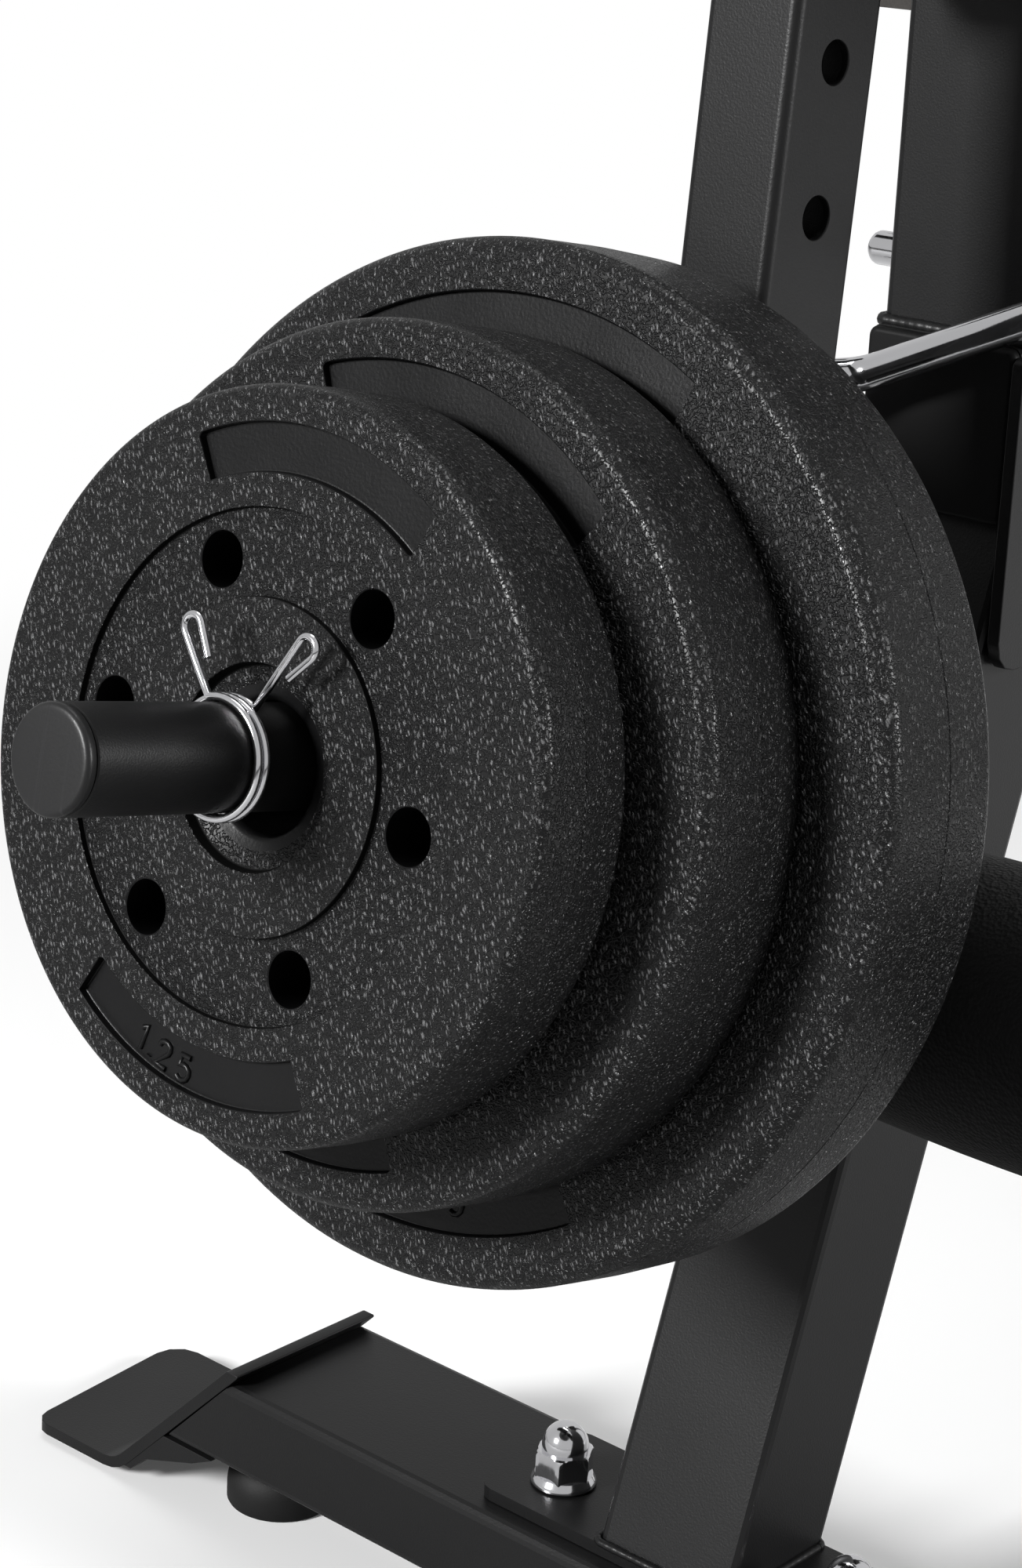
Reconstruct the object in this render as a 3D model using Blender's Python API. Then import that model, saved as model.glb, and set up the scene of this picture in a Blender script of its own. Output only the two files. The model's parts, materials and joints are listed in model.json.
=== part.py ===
"""Strength training bench with a plate-loaded leg lever, as separate solids.

Metres, +Z up, +X to the object's left-hand user side, -Y to the front.
The origin lies on the floor under the middle of the bench.
"""

import math

import bmesh
import bpy
from mathutils import Matrix, Quaternion, Vector

# Clearances
FIT_GAP = 0.0003
SLIDE_GAP = 0.0004
BOLT_GAP = 0.0004

# Tubes and plates
TUBE_WALL = 0.002
TUBE_CORNER = 0.003
CORNER_STEPS = 3
ROUND_STEPS = 20
FINE_STEPS = 16

# Front and rear base
FOOT_HEIGHT = 0.025
FOOT_RADIUS = 0.018
FOOT_EDGE = 0.002
FOOT_RIM_HEIGHT = 0.007
FOOT_SHOULDER_HEIGHT = 0.0145
FOOT_NECK_RADIUS = 0.0125
FOOT_SCREW_RADIUS = 0.006
FOOT_SCREW_DEPTH = 0.004
FOOT_FROM_END = 0.0065
BASE_HEIGHT = 0.030
BASE_DEPTH = 0.063
BASE_TOP_HALF = 0.172
END_PLATE_THICKNESS = 0.004
LIP_HEIGHT = 0.005
TOE_CLEARANCE = 0.0025
TOE_END_FRONT = 0.2665
TOE_END_REAR = 0.2735
TOE_FRONT_FLARE = 0.001
TOE_REAR_FLARE = 0.009
TOE_FLARE_HEIGHT = 0.022
TOE_FLARE_RUN = 0.019
TOE_FRONT_CORNER = 0.007
TOE_REAR_CORNER = 0.010
TOE_BEND = 0.012
WEB_THICKNESS = 0.004
WEB_REACH = 0.023
FRONT_BASE_Y = -0.4425
REAR_BASE_Y = 0.6649
REAR_BASE_HALF = 0.190
REAR_BOOT_LENGTH = 0.045
REAR_BOOT_WALL = 0.003
FLANGE_HALF = 0.071
FLANGE_DEPTH = 0.0475
FLANGE_THICKNESS = 0.004
FLANGE_BOLT_X = 0.0533
FLANGE_BOLT_OUT = 0.0043
NUT_RADIUS = 0.0093
NUT_HEIGHT = 0.0080
DOME_RADIUS = 0.0072
DOME_HEIGHT = 0.0088
WASHER_RADIUS = 0.0101
WASHER_HEIGHT = 0.0032

# Legs, main beam and post
LEG_WIDTH = 0.048
LEG_DEPTH = 0.0445
BEAM_SIZE = 0.050
BEAM_TOP = 0.411
POST_Y = -0.343
BEAM_FRONT_REACH = 0.029
BEAM_REAR_Y = 0.605
REAR_LEG_TOP_Y = 0.567
CAP_FLANGE = 0.003
CAP_PLUG = 0.020
GUSSET_THICKNESS = 0.004
GUSSET_RIGHT_FRONT_REACH = 0.034
GUSSET_LEFT_FRONT_REACH = 0.024
GUSSET_REAR_REACH = 0.055
GUSSET_DROP = 0.091
GUSSET_BEVEL_RUN = 0.030
GUSSET_BEVEL_RISE = 0.045
GUSSET_CORNER = 0.009
SOCKET_TOP = 0.506
INNER_POST_BOTTOM = 0.418
INNER_POST_TOP = 0.610
SHORT_PLUG = 0.012

# Lock pin through the socket and the inner post
LOCK_PIN_RADIUS = 0.005
LOCK_PIN_DOME = 0.0025
LOCK_PIN_Z = 0.427
LOCK_PIN_TIP_X = -0.048
LOCK_PIN_SIDE_X = 0.060
LOCK_PIN_BEND = 0.012
LOCK_PIN_RISE = 0.0062
LOCK_PIN_FRONT_REACH = 0.045
LOCK_PIN_FOLD_X = -0.016
LOCK_PIN_FOLD_Z = 0.3992
LOCK_PIN_TAIL = 0.024

# Lever and its pivot
PIVOT_Y = POST_Y - 0.1032
PIVOT_Z = 0.572
PIVOT_RADIUS = 0.006
LEVER_TILT = math.radians(5.0)
LEVER_WIDTH = 0.029
LEVER_DEPTH = 0.0357
LEVER_TOP = 0.024
LEVER_BOTTOM = 0.338
LEVER_HOLE_RADIUS = 0.0055
LEVER_FIRST_HOLE = 0.0820
LEVER_HOLE_PITCH = 0.0386
LEVER_HOLE_COUNT = 4
BRACKET_THICKNESS = 0.005
BRACKET_SIDE_GAP = 0.0012
BRACKET_BOTTOM = 0.509
BRACKET_TOP = 0.600
BRACKET_BOSS = 0.021
STOP_FROM_PIVOT = 0.046
STOP_PLATE_HEIGHT = 0.030
STOP_PLATE_THICKNESS = 0.005
BUMPER_RADIUS = 0.011
BUMPER_LENGTH = 0.016

# Weight sleeve, plates and clip
SLEEVE_TILT = math.radians(11.0)
SLEEVE_FROM_PIVOT = 0.26324
SLEEVE_RADIUS = 0.0125
PLATE_FACE_REACH = 0.17096
SLEEVE_REACH = 0.22906
SLEEVE_CAP_HEAD = 0.0033
STOP_RING_RADIUS = 0.0225
STOP_RING_LENGTH = 0.007
PLATE_SLACK = 0.0043
PLATE_BORE_RADIUS = 0.0153
PLATE_STEPS = 40
HUB_RECESS_RADIUS = 0.024
HUB_RECESS_DEPTH = 0.0029
HUB_LIP_RADIUS = 0.0192
HUB_LIP_DEPTH = 0.0040
BORE_LIP_DEPTH = 0.0065
STEP_DRAFT = 0.0004
FACE_RECESS_DEPTH = 0.0016
POCKET_DEPTH = 0.002
RIM_DRAFT = 0.03
HOLE_RADIUS = 0.0065
HOLE_COUNT = 6
CLIP_WIRE_RADIUS = 0.001
CLIP_TURNS = 2.15
CLIP_PITCH = 0.0026
CLIP_REACH = 0.0100
CLIP_ARM = 0.0205
CLIP_LOOP_RADIUS = 0.0024
CLIP_SPREAD = math.radians(33.0)

# Foam rollers
LOWER_AXLE_FROM_PIVOT = 0.3062
AXLE_RADIUS = 0.011
AXLE_HEAD = 0.003
UPPER_AXLE_Z = 0.582
ROLLER_RADIUS = 0.0372
ROLLER_WAIST = 0.0045
ROLLER_LENGTH = 0.176
LOWER_ROLLER_INNER = 0.026
UPPER_ROLLER_INNER = 0.030
ROLLER_BORE_GAP = 0.0006
ROLLER_STEPS = 24
END_PLUG_RADIUS = 0.018
END_PLUG_LENGTH = 0.004

# Seat
SEAT_FRONT_Y = -0.297
SEAT_LENGTH = 0.262
SEAT_HALF_WIDTH = 0.125
BOARD_BOTTOM = 0.490
BOARD_THICKNESS = 0.012
PAD_THICKNESS = 0.050
PAD_CORNER = 0.030
SEAT_SUPPORT_SIZE = 0.040
SEAT_SUPPORT_FRONT_INSET = 0.057
SEAT_SUPPORT_REAR_INSET = 0.050
SUPPORT_PLATE_HALF_X = 0.060
SUPPORT_PLATE_HALF_Y = 0.030
SUPPORT_PLATE_THICKNESS = 0.004

# Backrest
HINGE_Y = 0.037
HINGE_Z = 0.482
HINGE_RADIUS = 0.006
BACK_ANGLE = math.radians(45.0)
BACK_TUBE_WIDTH = 0.040
BACK_TUBE_HEIGHT = 0.025
BACK_TUBE_START = -0.020
BACK_TUBE_LENGTH = 0.600
BACK_PAD_START = 0.015
BACK_PAD_LENGTH = 0.700
BACK_PAD_HALF_WIDTH = 0.130
BACK_PAD_TOP_HALF_WIDTH = 0.115
BACK_PAD_THICKNESS = 0.045
HINGE_BRACKET_THICKNESS = 0.004
HINGE_BRACKET_HALF = 0.055
HINGE_BOSS_RADIUS = 0.018
SECTOR_THICKNESS = 0.004
SECTOR_RADIUS = 0.062
SECTOR_HOLE_REACH = 0.050
SECTOR_STEP = math.radians(15.0)
SECTOR_HOLES = 6
SELECTOR_RADIUS = 0.0045
SELECTOR_BARREL_RADIUS = 0.010
SELECTOR_BARREL_LENGTH = 0.018
SELECTOR_KNOB_RADIUS = 0.015
SELECTOR_KNOB_LENGTH = 0.022
SELECTOR_TRAVEL = 0.0045

# Each plate: its rim has a moulding seam at some depth below its face, the pockets' half angle and
# the plate's turn on the sleeve are in degrees, and behind is the room to the next plate inwards.
PLATES = (
    {"name": "weight_plate_large", "radius": 0.1281, "thickness": 0.0429, "seam": 0.0228,
     "rounding": 0.0048, "boss": 0.050, "recess": 0.086, "pocket_in": 0.101, "pocket_out": 0.1142,
     "pocket_half": 30.0, "turn": 2.0, "hole_reach": 0.068, "behind": FIT_GAP},
    {"name": "weight_plate_middle", "radius": 0.1053, "thickness": 0.0353, "seam": 0.0188,
     "rounding": 0.0040, "boss": 0.044, "recess": 0.072, "pocket_in": 0.083, "pocket_out": 0.0950,
     "pocket_half": 29.8, "turn": -11.5, "hole_reach": 0.058, "behind": FIT_GAP},
    {"name": "weight_plate_small", "radius": 0.0872, "thickness": 0.0287, "seam": 0.0133,
     "rounding": 0.0029, "boss": 0.039, "recess": 0.059, "pocket_in": 0.067, "pocket_out": 0.0782,
     "pocket_half": 29.5, "turn": -4.8, "hole_reach": 0.0488, "behind": PLATE_SLACK},
)


def material(name, colour, roughness, metallic=0.0):
    """A plain Principled material."""
    made = bpy.data.materials.new(name)
    made.use_nodes = True
    shader = made.node_tree.nodes["Principled BSDF"]
    shader.inputs["Base Color"].default_value = (*colour, 1.0)
    shader.inputs["Roughness"].default_value = roughness
    shader.inputs["Metallic"].default_value = metallic
    return made


def clear_scene():
    """Remove what a new file holds."""
    for item in list(bpy.data.objects):
        bpy.data.objects.remove(item)


def empty(name, location, parent=None, rotation=(0.0, 0.0, 0.0)):
    """An axis or frame that pieces hang on."""
    made = bpy.data.objects.new(name, None)
    made.location = location
    made.rotation_euler = rotation
    made.parent = parent
    bpy.context.scene.collection.objects.link(made)
    return made


def finish_mesh(name, mesh_data, finish, location, rotation, parent):
    """Turn a bmesh into a named object with outward faces and smooth round sides."""
    bmesh.ops.remove_doubles(mesh_data, verts=mesh_data.verts, dist=1e-6)
    bmesh.ops.recalc_face_normals(mesh_data, faces=mesh_data.faces)
    mesh = bpy.data.meshes.new(name)
    mesh_data.to_mesh(mesh)
    mesh_data.free()
    mesh.shade_smooth()
    mesh.set_sharp_from_angle(angle=math.radians(35.0))
    made = bpy.data.objects.new(name, mesh)
    made.data.materials.append(finish)
    made.location = location
    made.rotation_euler = rotation
    made.parent = parent
    bpy.context.scene.collection.objects.link(made)
    return made


def rings_mesh(rings, wrap):
    """Skin rings of equal length: closed on itself, or capped at both ends."""
    mesh_data = bmesh.new()
    loops = [[mesh_data.verts.new(point) for point in ring] for ring in rings]
    pairs = list(zip(loops, loops[1:]))
    if wrap:
        pairs.append((loops[-1], loops[0]))
    else:
        mesh_data.faces.new(list(reversed(loops[0])))
        mesh_data.faces.new(loops[-1])
    for low, high in pairs:
        count = len(low)
        for index in range(count):
            after = (index + 1) % count
            mesh_data.faces.new((low[index], low[after], high[after], high[index]))
    return mesh_data


def rounded_outline(width, depth, radius, steps=CORNER_STEPS):
    """Rounded rectangle about the origin, anticlockwise."""
    points = []
    corners = ((1, 1, 0.0), (-1, 1, 90.0), (-1, -1, 180.0), (1, -1, 270.0))
    for side_x, side_y, start in corners:
        centre_x = side_x * (width / 2 - radius)
        centre_y = side_y * (depth / 2 - radius)
        for step in range(steps + 1):
            angle = math.radians(start + 90.0 * step / steps)
            points.append((centre_x + radius * math.cos(angle), centre_y + radius * math.sin(angle)))
    return points


def rounded_polygon(corners, radii, steps=CORNER_STEPS):
    """Polygon whose corners are rounded by arcs; a radius of zero stays sharp."""
    points = []
    count = len(corners)
    for index, radius in enumerate(radii):
        here = Vector(corners[index])
        if radius == 0.0:
            points.append(tuple(here))
            continue
        back = (Vector(corners[index - 1]) - here).normalized()
        ahead = (Vector(corners[(index + 1) % count]) - here).normalized()
        half = back.angle(ahead) / 2
        centre = here + (back + ahead).normalized() * radius / math.sin(half)
        start = here + back * radius / math.tan(half) - centre
        end = here + ahead * radius / math.tan(half) - centre
        sweep = start.angle_signed(end)
        for step in range(steps + 1):
            turn = Matrix.Rotation(-sweep * step / steps, 2)
            points.append(tuple(centre + turn @ start))
    return points


def prism(name, outline, low, high, finish, location=(0, 0, 0), rotation=(0, 0, 0), parent=None):
    """An outline in XY drawn up from low to high."""
    rings = [[(x, y, height) for x, y in outline] for height in (low, high)]
    return finish_mesh(name, rings_mesh(rings, False), finish, location, rotation, parent)


def square_tube(name, size_x, size_y, low, high, finish, location=(0, 0, 0), rotation=(0, 0, 0),
                parent=None, lean=0.0, mitre=0.0):
    """Open square tube along Z.

    lean shifts its top along Y; mitre lengthens its -Y side by that much at both ends.
    """
    outer = rounded_outline(size_x, size_y, TUBE_CORNER)
    inner = rounded_outline(size_x - 2 * TUBE_WALL, size_y - 2 * TUBE_WALL, TUBE_CORNER - TUBE_WALL)

    def ring(outline, height, side):
        share = (height - low) / (high - low)
        return [(x, y + lean * share, height + side * mitre * (0.5 - y / size_y)) for x, y in outline]

    rings = [ring(outer, low, -1), ring(outer, high, 1), ring(inner, high, 1), ring(inner, low, -1)]
    return finish_mesh(name, rings_mesh(rings, True), finish, location, rotation, parent)


def lathe(name, profile, finish, location=(0, 0, 0), rotation=(0, 0, 0), parent=None,
          steps=ROUND_STEPS, bored=False, first=0.0):
    """Turn (radius, height) points about Z: a closed ring when bored, or a solid with flat ends."""
    rings = []
    for radius, height in profile:
        angles = [first + 2 * math.pi * step / steps for step in range(steps)]
        rings.append([(radius * math.cos(a), radius * math.sin(a), height) for a in angles])
    return finish_mesh(name, rings_mesh(rings, bored), finish, location, rotation, parent)


def cutter(made):
    """Mark an object as a guide that only cuts."""
    made.hide_render = True
    made.display_type = "WIRE"
    return made


def combine(target, other, operation):
    """Join or cut with a Boolean that stays on the target."""
    change = target.modifiers.new(operation.lower() + "_" + other.name, "BOOLEAN")
    change.operation = operation
    change.solver = "EXACT"
    change.object = cutter(other)
    return target


def drill(target, name, radius, half_length, location, rotation=(0, 0, 0), parent=None, steps=12):
    """Cut a round hole through the target, along the cutter's own Z."""
    profile = [(radius, -half_length), (radius, half_length)]
    tool = lathe(name, profile, target.data.materials[0], location, rotation, parent, steps)
    return combine(target, tool, "DIFFERENCE")


ALONG_X = (0.0, math.radians(90.0), 0.0)
ALONG_Y = (math.radians(-90.0), 0.0, 0.0)


def make_materials():
    """Colours and finishes of the whole bench."""
    return {
        "frame": material("black_powder_coat", (0.030, 0.030, 0.032), 0.45, 0.2),
        "plastic": material("black_plastic", (0.022, 0.022, 0.024), 0.55),
        "plate": material("plate_plastic", (0.028, 0.028, 0.030), 0.50),
        "rubber": material("black_rubber", (0.018, 0.018, 0.018), 0.75),
        "foam": material("black_foam", (0.012, 0.012, 0.012), 0.95),
        "chrome": material("chrome", (0.80, 0.80, 0.82), 0.12, 1.0),
        "vinyl": material("black_vinyl", (0.020, 0.020, 0.021), 0.50),
        "board": material("seat_board", (0.030, 0.027, 0.024), 0.80),
    }


def base_beam(name, centre_y, half_top, mitre, finish):
    """Floor beam across the bench; its mitred ends run out towards the floor."""
    return square_tube(name, BASE_DEPTH, BASE_HEIGHT, -half_top, half_top, finish["frame"],
                       location=(0, centre_y, FOOT_HEIGHT + BASE_HEIGHT / 2),
                       rotation=(math.radians(90.0), 0.0, math.radians(90.0)), mitre=mitre)


def end_plate(name, side, finish):
    """Bent plate over the end of the front beam: lip, slope down at 45 degrees and foot tongue.

    It is bent from a wide strip, and its plan, with the flared tongue, is then cut from that.
    """
    top = FOOT_HEIGHT + BASE_HEIGHT
    lip = top + LIP_HEIGHT
    low = TOE_CLEARANCE
    high = low + END_PLATE_THICKNESS
    # Along the slope x + z is constant, on its inner face and on its outer face.
    inner_sum = BASE_TOP_HALF + top + FIT_GAP * math.sqrt(2)
    outer_sum = inner_sum + END_PLATE_THICKNESS * math.sqrt(2)
    strip_end = TOE_END_REAR + TOE_REAR_CORNER
    profile = [
        (inner_sum - lip, lip),
        (inner_sum - low, low),
        (strip_end, low),
        (strip_end, high),
        (outer_sum - high, high),
        (outer_sum - lip, lip),
    ]
    radii = [0.0005, TOE_BEND + END_PLATE_THICKNESS, 0.0, 0.0, TOE_BEND, 0.0015]
    outline = [(side * x, z) for x, z in rounded_polygon(profile, radii)]
    strip_half = BASE_DEPTH / 2 + TOE_REAR_FLARE + TOE_REAR_CORNER
    plate = prism(name, outline, -strip_half, strip_half, finish["frame"],
                  location=(0, FRONT_BASE_Y, 0), rotation=(math.radians(90.0), 0, 0))

    half = BASE_DEPTH / 2
    flare_x = outer_sum - TOE_FLARE_HEIGHT
    plan = [
        (inner_sum - lip - TOE_BEND, -half),
        (flare_x, -half),
        (TOE_END_FRONT, -half - TOE_FRONT_FLARE),
        (TOE_END_REAR, half + TOE_REAR_FLARE),
        (flare_x + TOE_FLARE_RUN, half + TOE_REAR_FLARE),
        (flare_x, half),
        (inner_sum - lip - TOE_BEND, half),
    ]
    plan_radii = [0.0, 0.0, TOE_FRONT_CORNER, TOE_REAR_CORNER, TOE_BEND, TOE_BEND, 0.0]
    plan_outline = [(side * x, y) for x, y in rounded_polygon(plan, plan_radii)]
    tool = prism(name + "_plan", plan_outline, -TOE_BEND, lip + TOE_BEND, finish["frame"],
                 location=(0, FRONT_BASE_Y, 0))
    combine(plate, tool, "INTERSECT")

    web_high = FOOT_HEIGHT - FIT_GAP
    inside = END_PLATE_THICKNESS / 2
    web_profile = [
        (inner_sum - web_high - WEB_REACH, web_high),
        (inner_sum - web_high - 0.6 * WEB_REACH, web_high - 0.2 * WEB_REACH),
        (inner_sum - high - 0.42 * WEB_REACH, high + 0.26 * WEB_REACH),
        (inner_sum - high - 0.10 * WEB_REACH, high - 0.0005),
        (inner_sum - high + inside, high - 0.0005),
        (inner_sum - web_high + inside, web_high),
    ]
    for index, edge in enumerate((-1, 1)):
        middle = edge * (BASE_DEPTH / 2 - WEB_THICKNESS / 2 - 0.0002)
        web = prism(name + "_web_" + str(index), [(side * x, z) for x, z in web_profile],
                    -WEB_THICKNESS / 2, WEB_THICKNESS / 2, finish["frame"],
                    location=(0, FRONT_BASE_Y - middle, 0), rotation=(math.radians(90.0), 0, 0))
        combine(plate, web, "UNION")
    return plate


def rubber_foot(name, x, y, finish):
    """Round rubber foot under a base beam: screw recess, wide rim, rounded shoulder and neck."""
    profile = [(FOOT_SCREW_RADIUS, FOOT_SCREW_DEPTH), (FOOT_SCREW_RADIUS, 0.0),
               (FOOT_RADIUS - FOOT_EDGE, 0.0), (FOOT_RADIUS, FOOT_EDGE)]
    for step in range(3):
        angle = math.radians(90.0 * step / 2)
        profile.append((FOOT_NECK_RADIUS + (FOOT_RADIUS - FOOT_NECK_RADIUS) * math.cos(angle),
                        FOOT_RIM_HEIGHT + (FOOT_SHOULDER_HEIGHT - FOOT_RIM_HEIGHT) * math.sin(angle)))
    profile.append((FOOT_NECK_RADIUS, FOOT_HEIGHT - FIT_GAP))
    return lathe(name, profile, finish["rubber"], location=(x, y, 0))


def acorn_nut(name, x, y, finish):
    """Washer, hexagon and dome of a closed nut, standing on a flange."""
    seat = FOOT_HEIGHT + BASE_HEIGHT + FLANGE_THICKNESS + 2 * FIT_GAP
    washers = lathe(name, [(WASHER_RADIUS, 0), (WASHER_RADIUS, WASHER_HEIGHT)], finish["chrome"],
                    location=(x, y, seat), steps=FINE_STEPS)
    crown = [(DOME_RADIUS, WASHER_HEIGHT + NUT_HEIGHT - 0.001)]
    for step in range(4):
        angle = math.radians(18.0 + 60.0 * step / 3)
        crown.append((DOME_RADIUS * math.cos(angle),
                      WASHER_HEIGHT + NUT_HEIGHT + DOME_HEIGHT * math.sin(angle)))
    dome = lathe(name + "_dome", crown, finish["chrome"], location=(x, y, seat), steps=12)
    hexagon = [(NUT_RADIUS, WASHER_HEIGHT - 0.001), (NUT_RADIUS, WASHER_HEIGHT + NUT_HEIGHT)]
    body = lathe(name + "_hexagon", hexagon, finish["chrome"], location=(x, y, seat), steps=6)
    combine(washers, body, "UNION")
    return combine(washers, dome, "UNION")


def leg_and_flange(label, base_y, top_y, finish):
    """Leaning leg with its foot flange, bolted on a base beam by two nuts."""
    flange_low = FOOT_HEIGHT + BASE_HEIGHT + FIT_GAP
    flange_high = flange_low + FLANGE_THICKNESS
    leg_low = flange_high - FLANGE_THICKNESS / 2
    leg_high = BEAM_TOP - BEAM_SIZE - FIT_GAP
    lean = top_y - base_y
    slope = math.atan2(lean, leg_high - leg_low)
    leg = square_tube(label + "_leg", LEG_WIDTH, LEG_DEPTH / math.cos(slope), leg_low, leg_high,
                      finish["frame"], location=(0, base_y, 0), lean=lean)
    flange = prism(label + "_leg_flange", rounded_outline(2 * FLANGE_HALF, FLANGE_DEPTH, 0.005),
                   flange_low, flange_high, finish["frame"], location=(0, base_y, 0))
    combine(leg, flange, "UNION")
    bolt_y = base_y + math.copysign(FLANGE_BOLT_OUT, base_y)
    for hand, side in (("left", -1), ("right", 1)):
        acorn_nut(label + "_acorn_nut_" + hand, side * FLANGE_BOLT_X, bolt_y, finish)
    return leg


def side_gusset(name, side, front_reach, finish):
    """Cheek plate beside the beam and the top of the front leg."""
    inner = BEAM_SIZE / 2 + FIT_GAP
    high = BEAM_TOP - 0.002
    low = BEAM_TOP - GUSSET_DROP
    front = POST_Y - front_reach
    rear = POST_Y + GUSSET_REAR_REACH
    shape = [(front, high), (front, low), (rear - GUSSET_BEVEL_RUN, low),
             (rear, low + GUSSET_BEVEL_RISE), (rear, high)]
    outline = rounded_polygon(shape, [0.003, GUSSET_CORNER, 0.010, 0.010, 0.003])
    start = inner if side > 0 else -inner - GUSSET_THICKNESS
    return prism(name, outline, start, start + GUSSET_THICKNESS, finish["frame"],
                 rotation=(math.radians(90.0), 0.0, math.radians(90.0)))


def tube_cap(name, size_x, size_y, finish, location, rotation, parent=None, plug=CAP_PLUG):
    """Push-in plastic cap: shallow dish in its face and a plug that fills the tube's mouth."""
    edge = 0.0006
    head = [
        (size_x - 2 * TUBE_WALL - 2 * FIT_GAP, size_y - 2 * TUBE_WALL - 2 * FIT_GAP, -plug),
        (size_x - 2 * TUBE_WALL - 2 * FIT_GAP, size_y - 2 * TUBE_WALL - 2 * FIT_GAP, FIT_GAP),
        (size_x - edge, size_y - edge, FIT_GAP),
        (size_x - edge, size_y - edge, CAP_FLANGE - 0.001),
        (size_x - edge - 0.002, size_y - edge - 0.002, CAP_FLANGE),
        (size_x - 0.009, size_y - 0.009, CAP_FLANGE),
        (size_x - 0.011, size_y - 0.011, CAP_FLANGE - 0.001),
    ]
    rings = []
    for width, depth, height in head:
        radius = TUBE_CORNER - TUBE_WALL if height < FIT_GAP or width < size_x - 0.0035 else TUBE_CORNER
        rings.append([(x, y, height) for x, y in rounded_outline(width, depth, radius)])
    return finish_mesh(name, rings_mesh(rings, False), finish["plastic"], location, rotation, parent)


def main_frame(finish):
    """Beam, post socket, gussets, caps, and both legs on their bases."""
    base_beam("front_base_beam", FRONT_BASE_Y, BASE_TOP_HALF, BASE_HEIGHT - 0.0005, finish)
    sides = (("left", -1, GUSSET_LEFT_FRONT_REACH), ("right", 1, GUSSET_RIGHT_FRONT_REACH))
    for hand, side, gusset_reach in sides:
        end_plate("front_foot_plate_" + hand, side, finish)
        rubber_foot("front_rubber_foot_" + hand, side * (BASE_TOP_HALF + FOOT_FROM_END), FRONT_BASE_Y,
                    finish)
        side_gusset("side_gusset_" + hand, side, gusset_reach, finish)
    leg_and_flange("front", FRONT_BASE_Y, POST_Y, finish)
    base_beam("rear_base_beam", REAR_BASE_Y, REAR_BASE_HALF, 0.0, finish)
    leg_and_flange("rear", REAR_BASE_Y, REAR_LEG_TOP_Y, finish)
    for hand, side in (("left", -1), ("right", 1)):
        rear_boot("rear_base_boot_" + hand, side, finish)

    beam_front = POST_Y - BEAM_FRONT_REACH
    square_tube("main_beam", BEAM_SIZE, BEAM_SIZE, beam_front, BEAM_REAR_Y, finish["frame"],
                location=(0, 0, BEAM_TOP - BEAM_SIZE / 2), rotation=ALONG_Y)
    tube_cap("beam_end_cap_front", BEAM_SIZE, BEAM_SIZE, finish,
             (0, beam_front, BEAM_TOP - BEAM_SIZE / 2), (math.radians(90.0), 0, 0))
    tube_cap("beam_end_cap_rear", BEAM_SIZE, BEAM_SIZE, finish,
             (0, BEAM_REAR_Y, BEAM_TOP - BEAM_SIZE / 2), ALONG_Y)

    socket = square_tube("post_socket", BEAM_SIZE, BEAM_SIZE, BEAM_TOP + FIT_GAP, SOCKET_TOP,
                         finish["frame"], location=(0, POST_Y, 0))
    drill(socket, "socket_pin_hole", LOCK_PIN_RADIUS + BOLT_GAP, 0.05, (0, POST_Y, LOCK_PIN_Z), ALONG_X)

    post_size = BEAM_SIZE - 2 * TUBE_WALL - 2 * SLIDE_GAP
    post = square_tube("inner_post", post_size, post_size, INNER_POST_BOTTOM, INNER_POST_TOP,
                       finish["frame"], location=(0, POST_Y, 0))
    drill(post, "post_pin_hole", LOCK_PIN_RADIUS + BOLT_GAP, 0.05, (0, POST_Y, LOCK_PIN_Z), ALONG_X)
    drill(post, "post_axle_hole", AXLE_RADIUS + BOLT_GAP, 0.05, (0, POST_Y, UPPER_AXLE_Z), ALONG_X)
    tube_cap("inner_post_cap", post_size, post_size, finish, (0, POST_Y, INNER_POST_TOP), (0, 0, 0),
             plug=SHORT_PLUG)


def rear_boot(name, side, finish):
    """Plastic boot over an end of the rear base beam, standing on the floor."""
    length = REAR_BOOT_LENGTH
    depth = BASE_DEPTH + 2 * REAR_BOOT_WALL
    height = FOOT_HEIGHT + BASE_HEIGHT + REAR_BOOT_WALL
    end = REAR_BASE_HALF + REAR_BOOT_WALL + FIT_GAP
    boot = prism(name, rounded_outline(length, depth, 0.006), 0.0, height, finish["rubber"],
                 location=(side * (end - length / 2), REAR_BASE_Y, 0))
    room = rounded_outline(BASE_DEPTH + 2 * FIT_GAP, BASE_HEIGHT + 2 * FIT_GAP, TUBE_CORNER)
    hollow = prism(name + "_room", room, 0.0, length, finish["rubber"],
                   location=(side * (REAR_BASE_HALF + FIT_GAP), REAR_BASE_Y, FOOT_HEIGHT + BASE_HEIGHT / 2),
                   rotation=(math.radians(90.0), 0.0, math.radians(-90.0 * side)))
    return combine(boot, hollow, "DIFFERENCE")


def bent_rod(name, points, radius, finish, bevel_steps=3, parent=None, location=(0, 0, 0),
             rotation=(0, 0, 0)):
    """A round rod along a list of points, with closed ends."""
    curve = bpy.data.curves.new(name, "CURVE")
    curve.dimensions = "3D"
    curve.bevel_depth = radius
    curve.bevel_resolution = bevel_steps
    curve.use_fill_caps = True
    line = curve.splines.new("POLY")
    line.points.add(len(points) - 1)
    for spot, point in zip(line.points, points):
        spot.co = (*point, 1.0)
    made = bpy.data.objects.new(name, curve)
    curve.materials.append(finish)
    made.location = location
    made.rotation_euler = rotation
    made.parent = parent
    bpy.context.scene.collection.objects.link(made)
    return made


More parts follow.
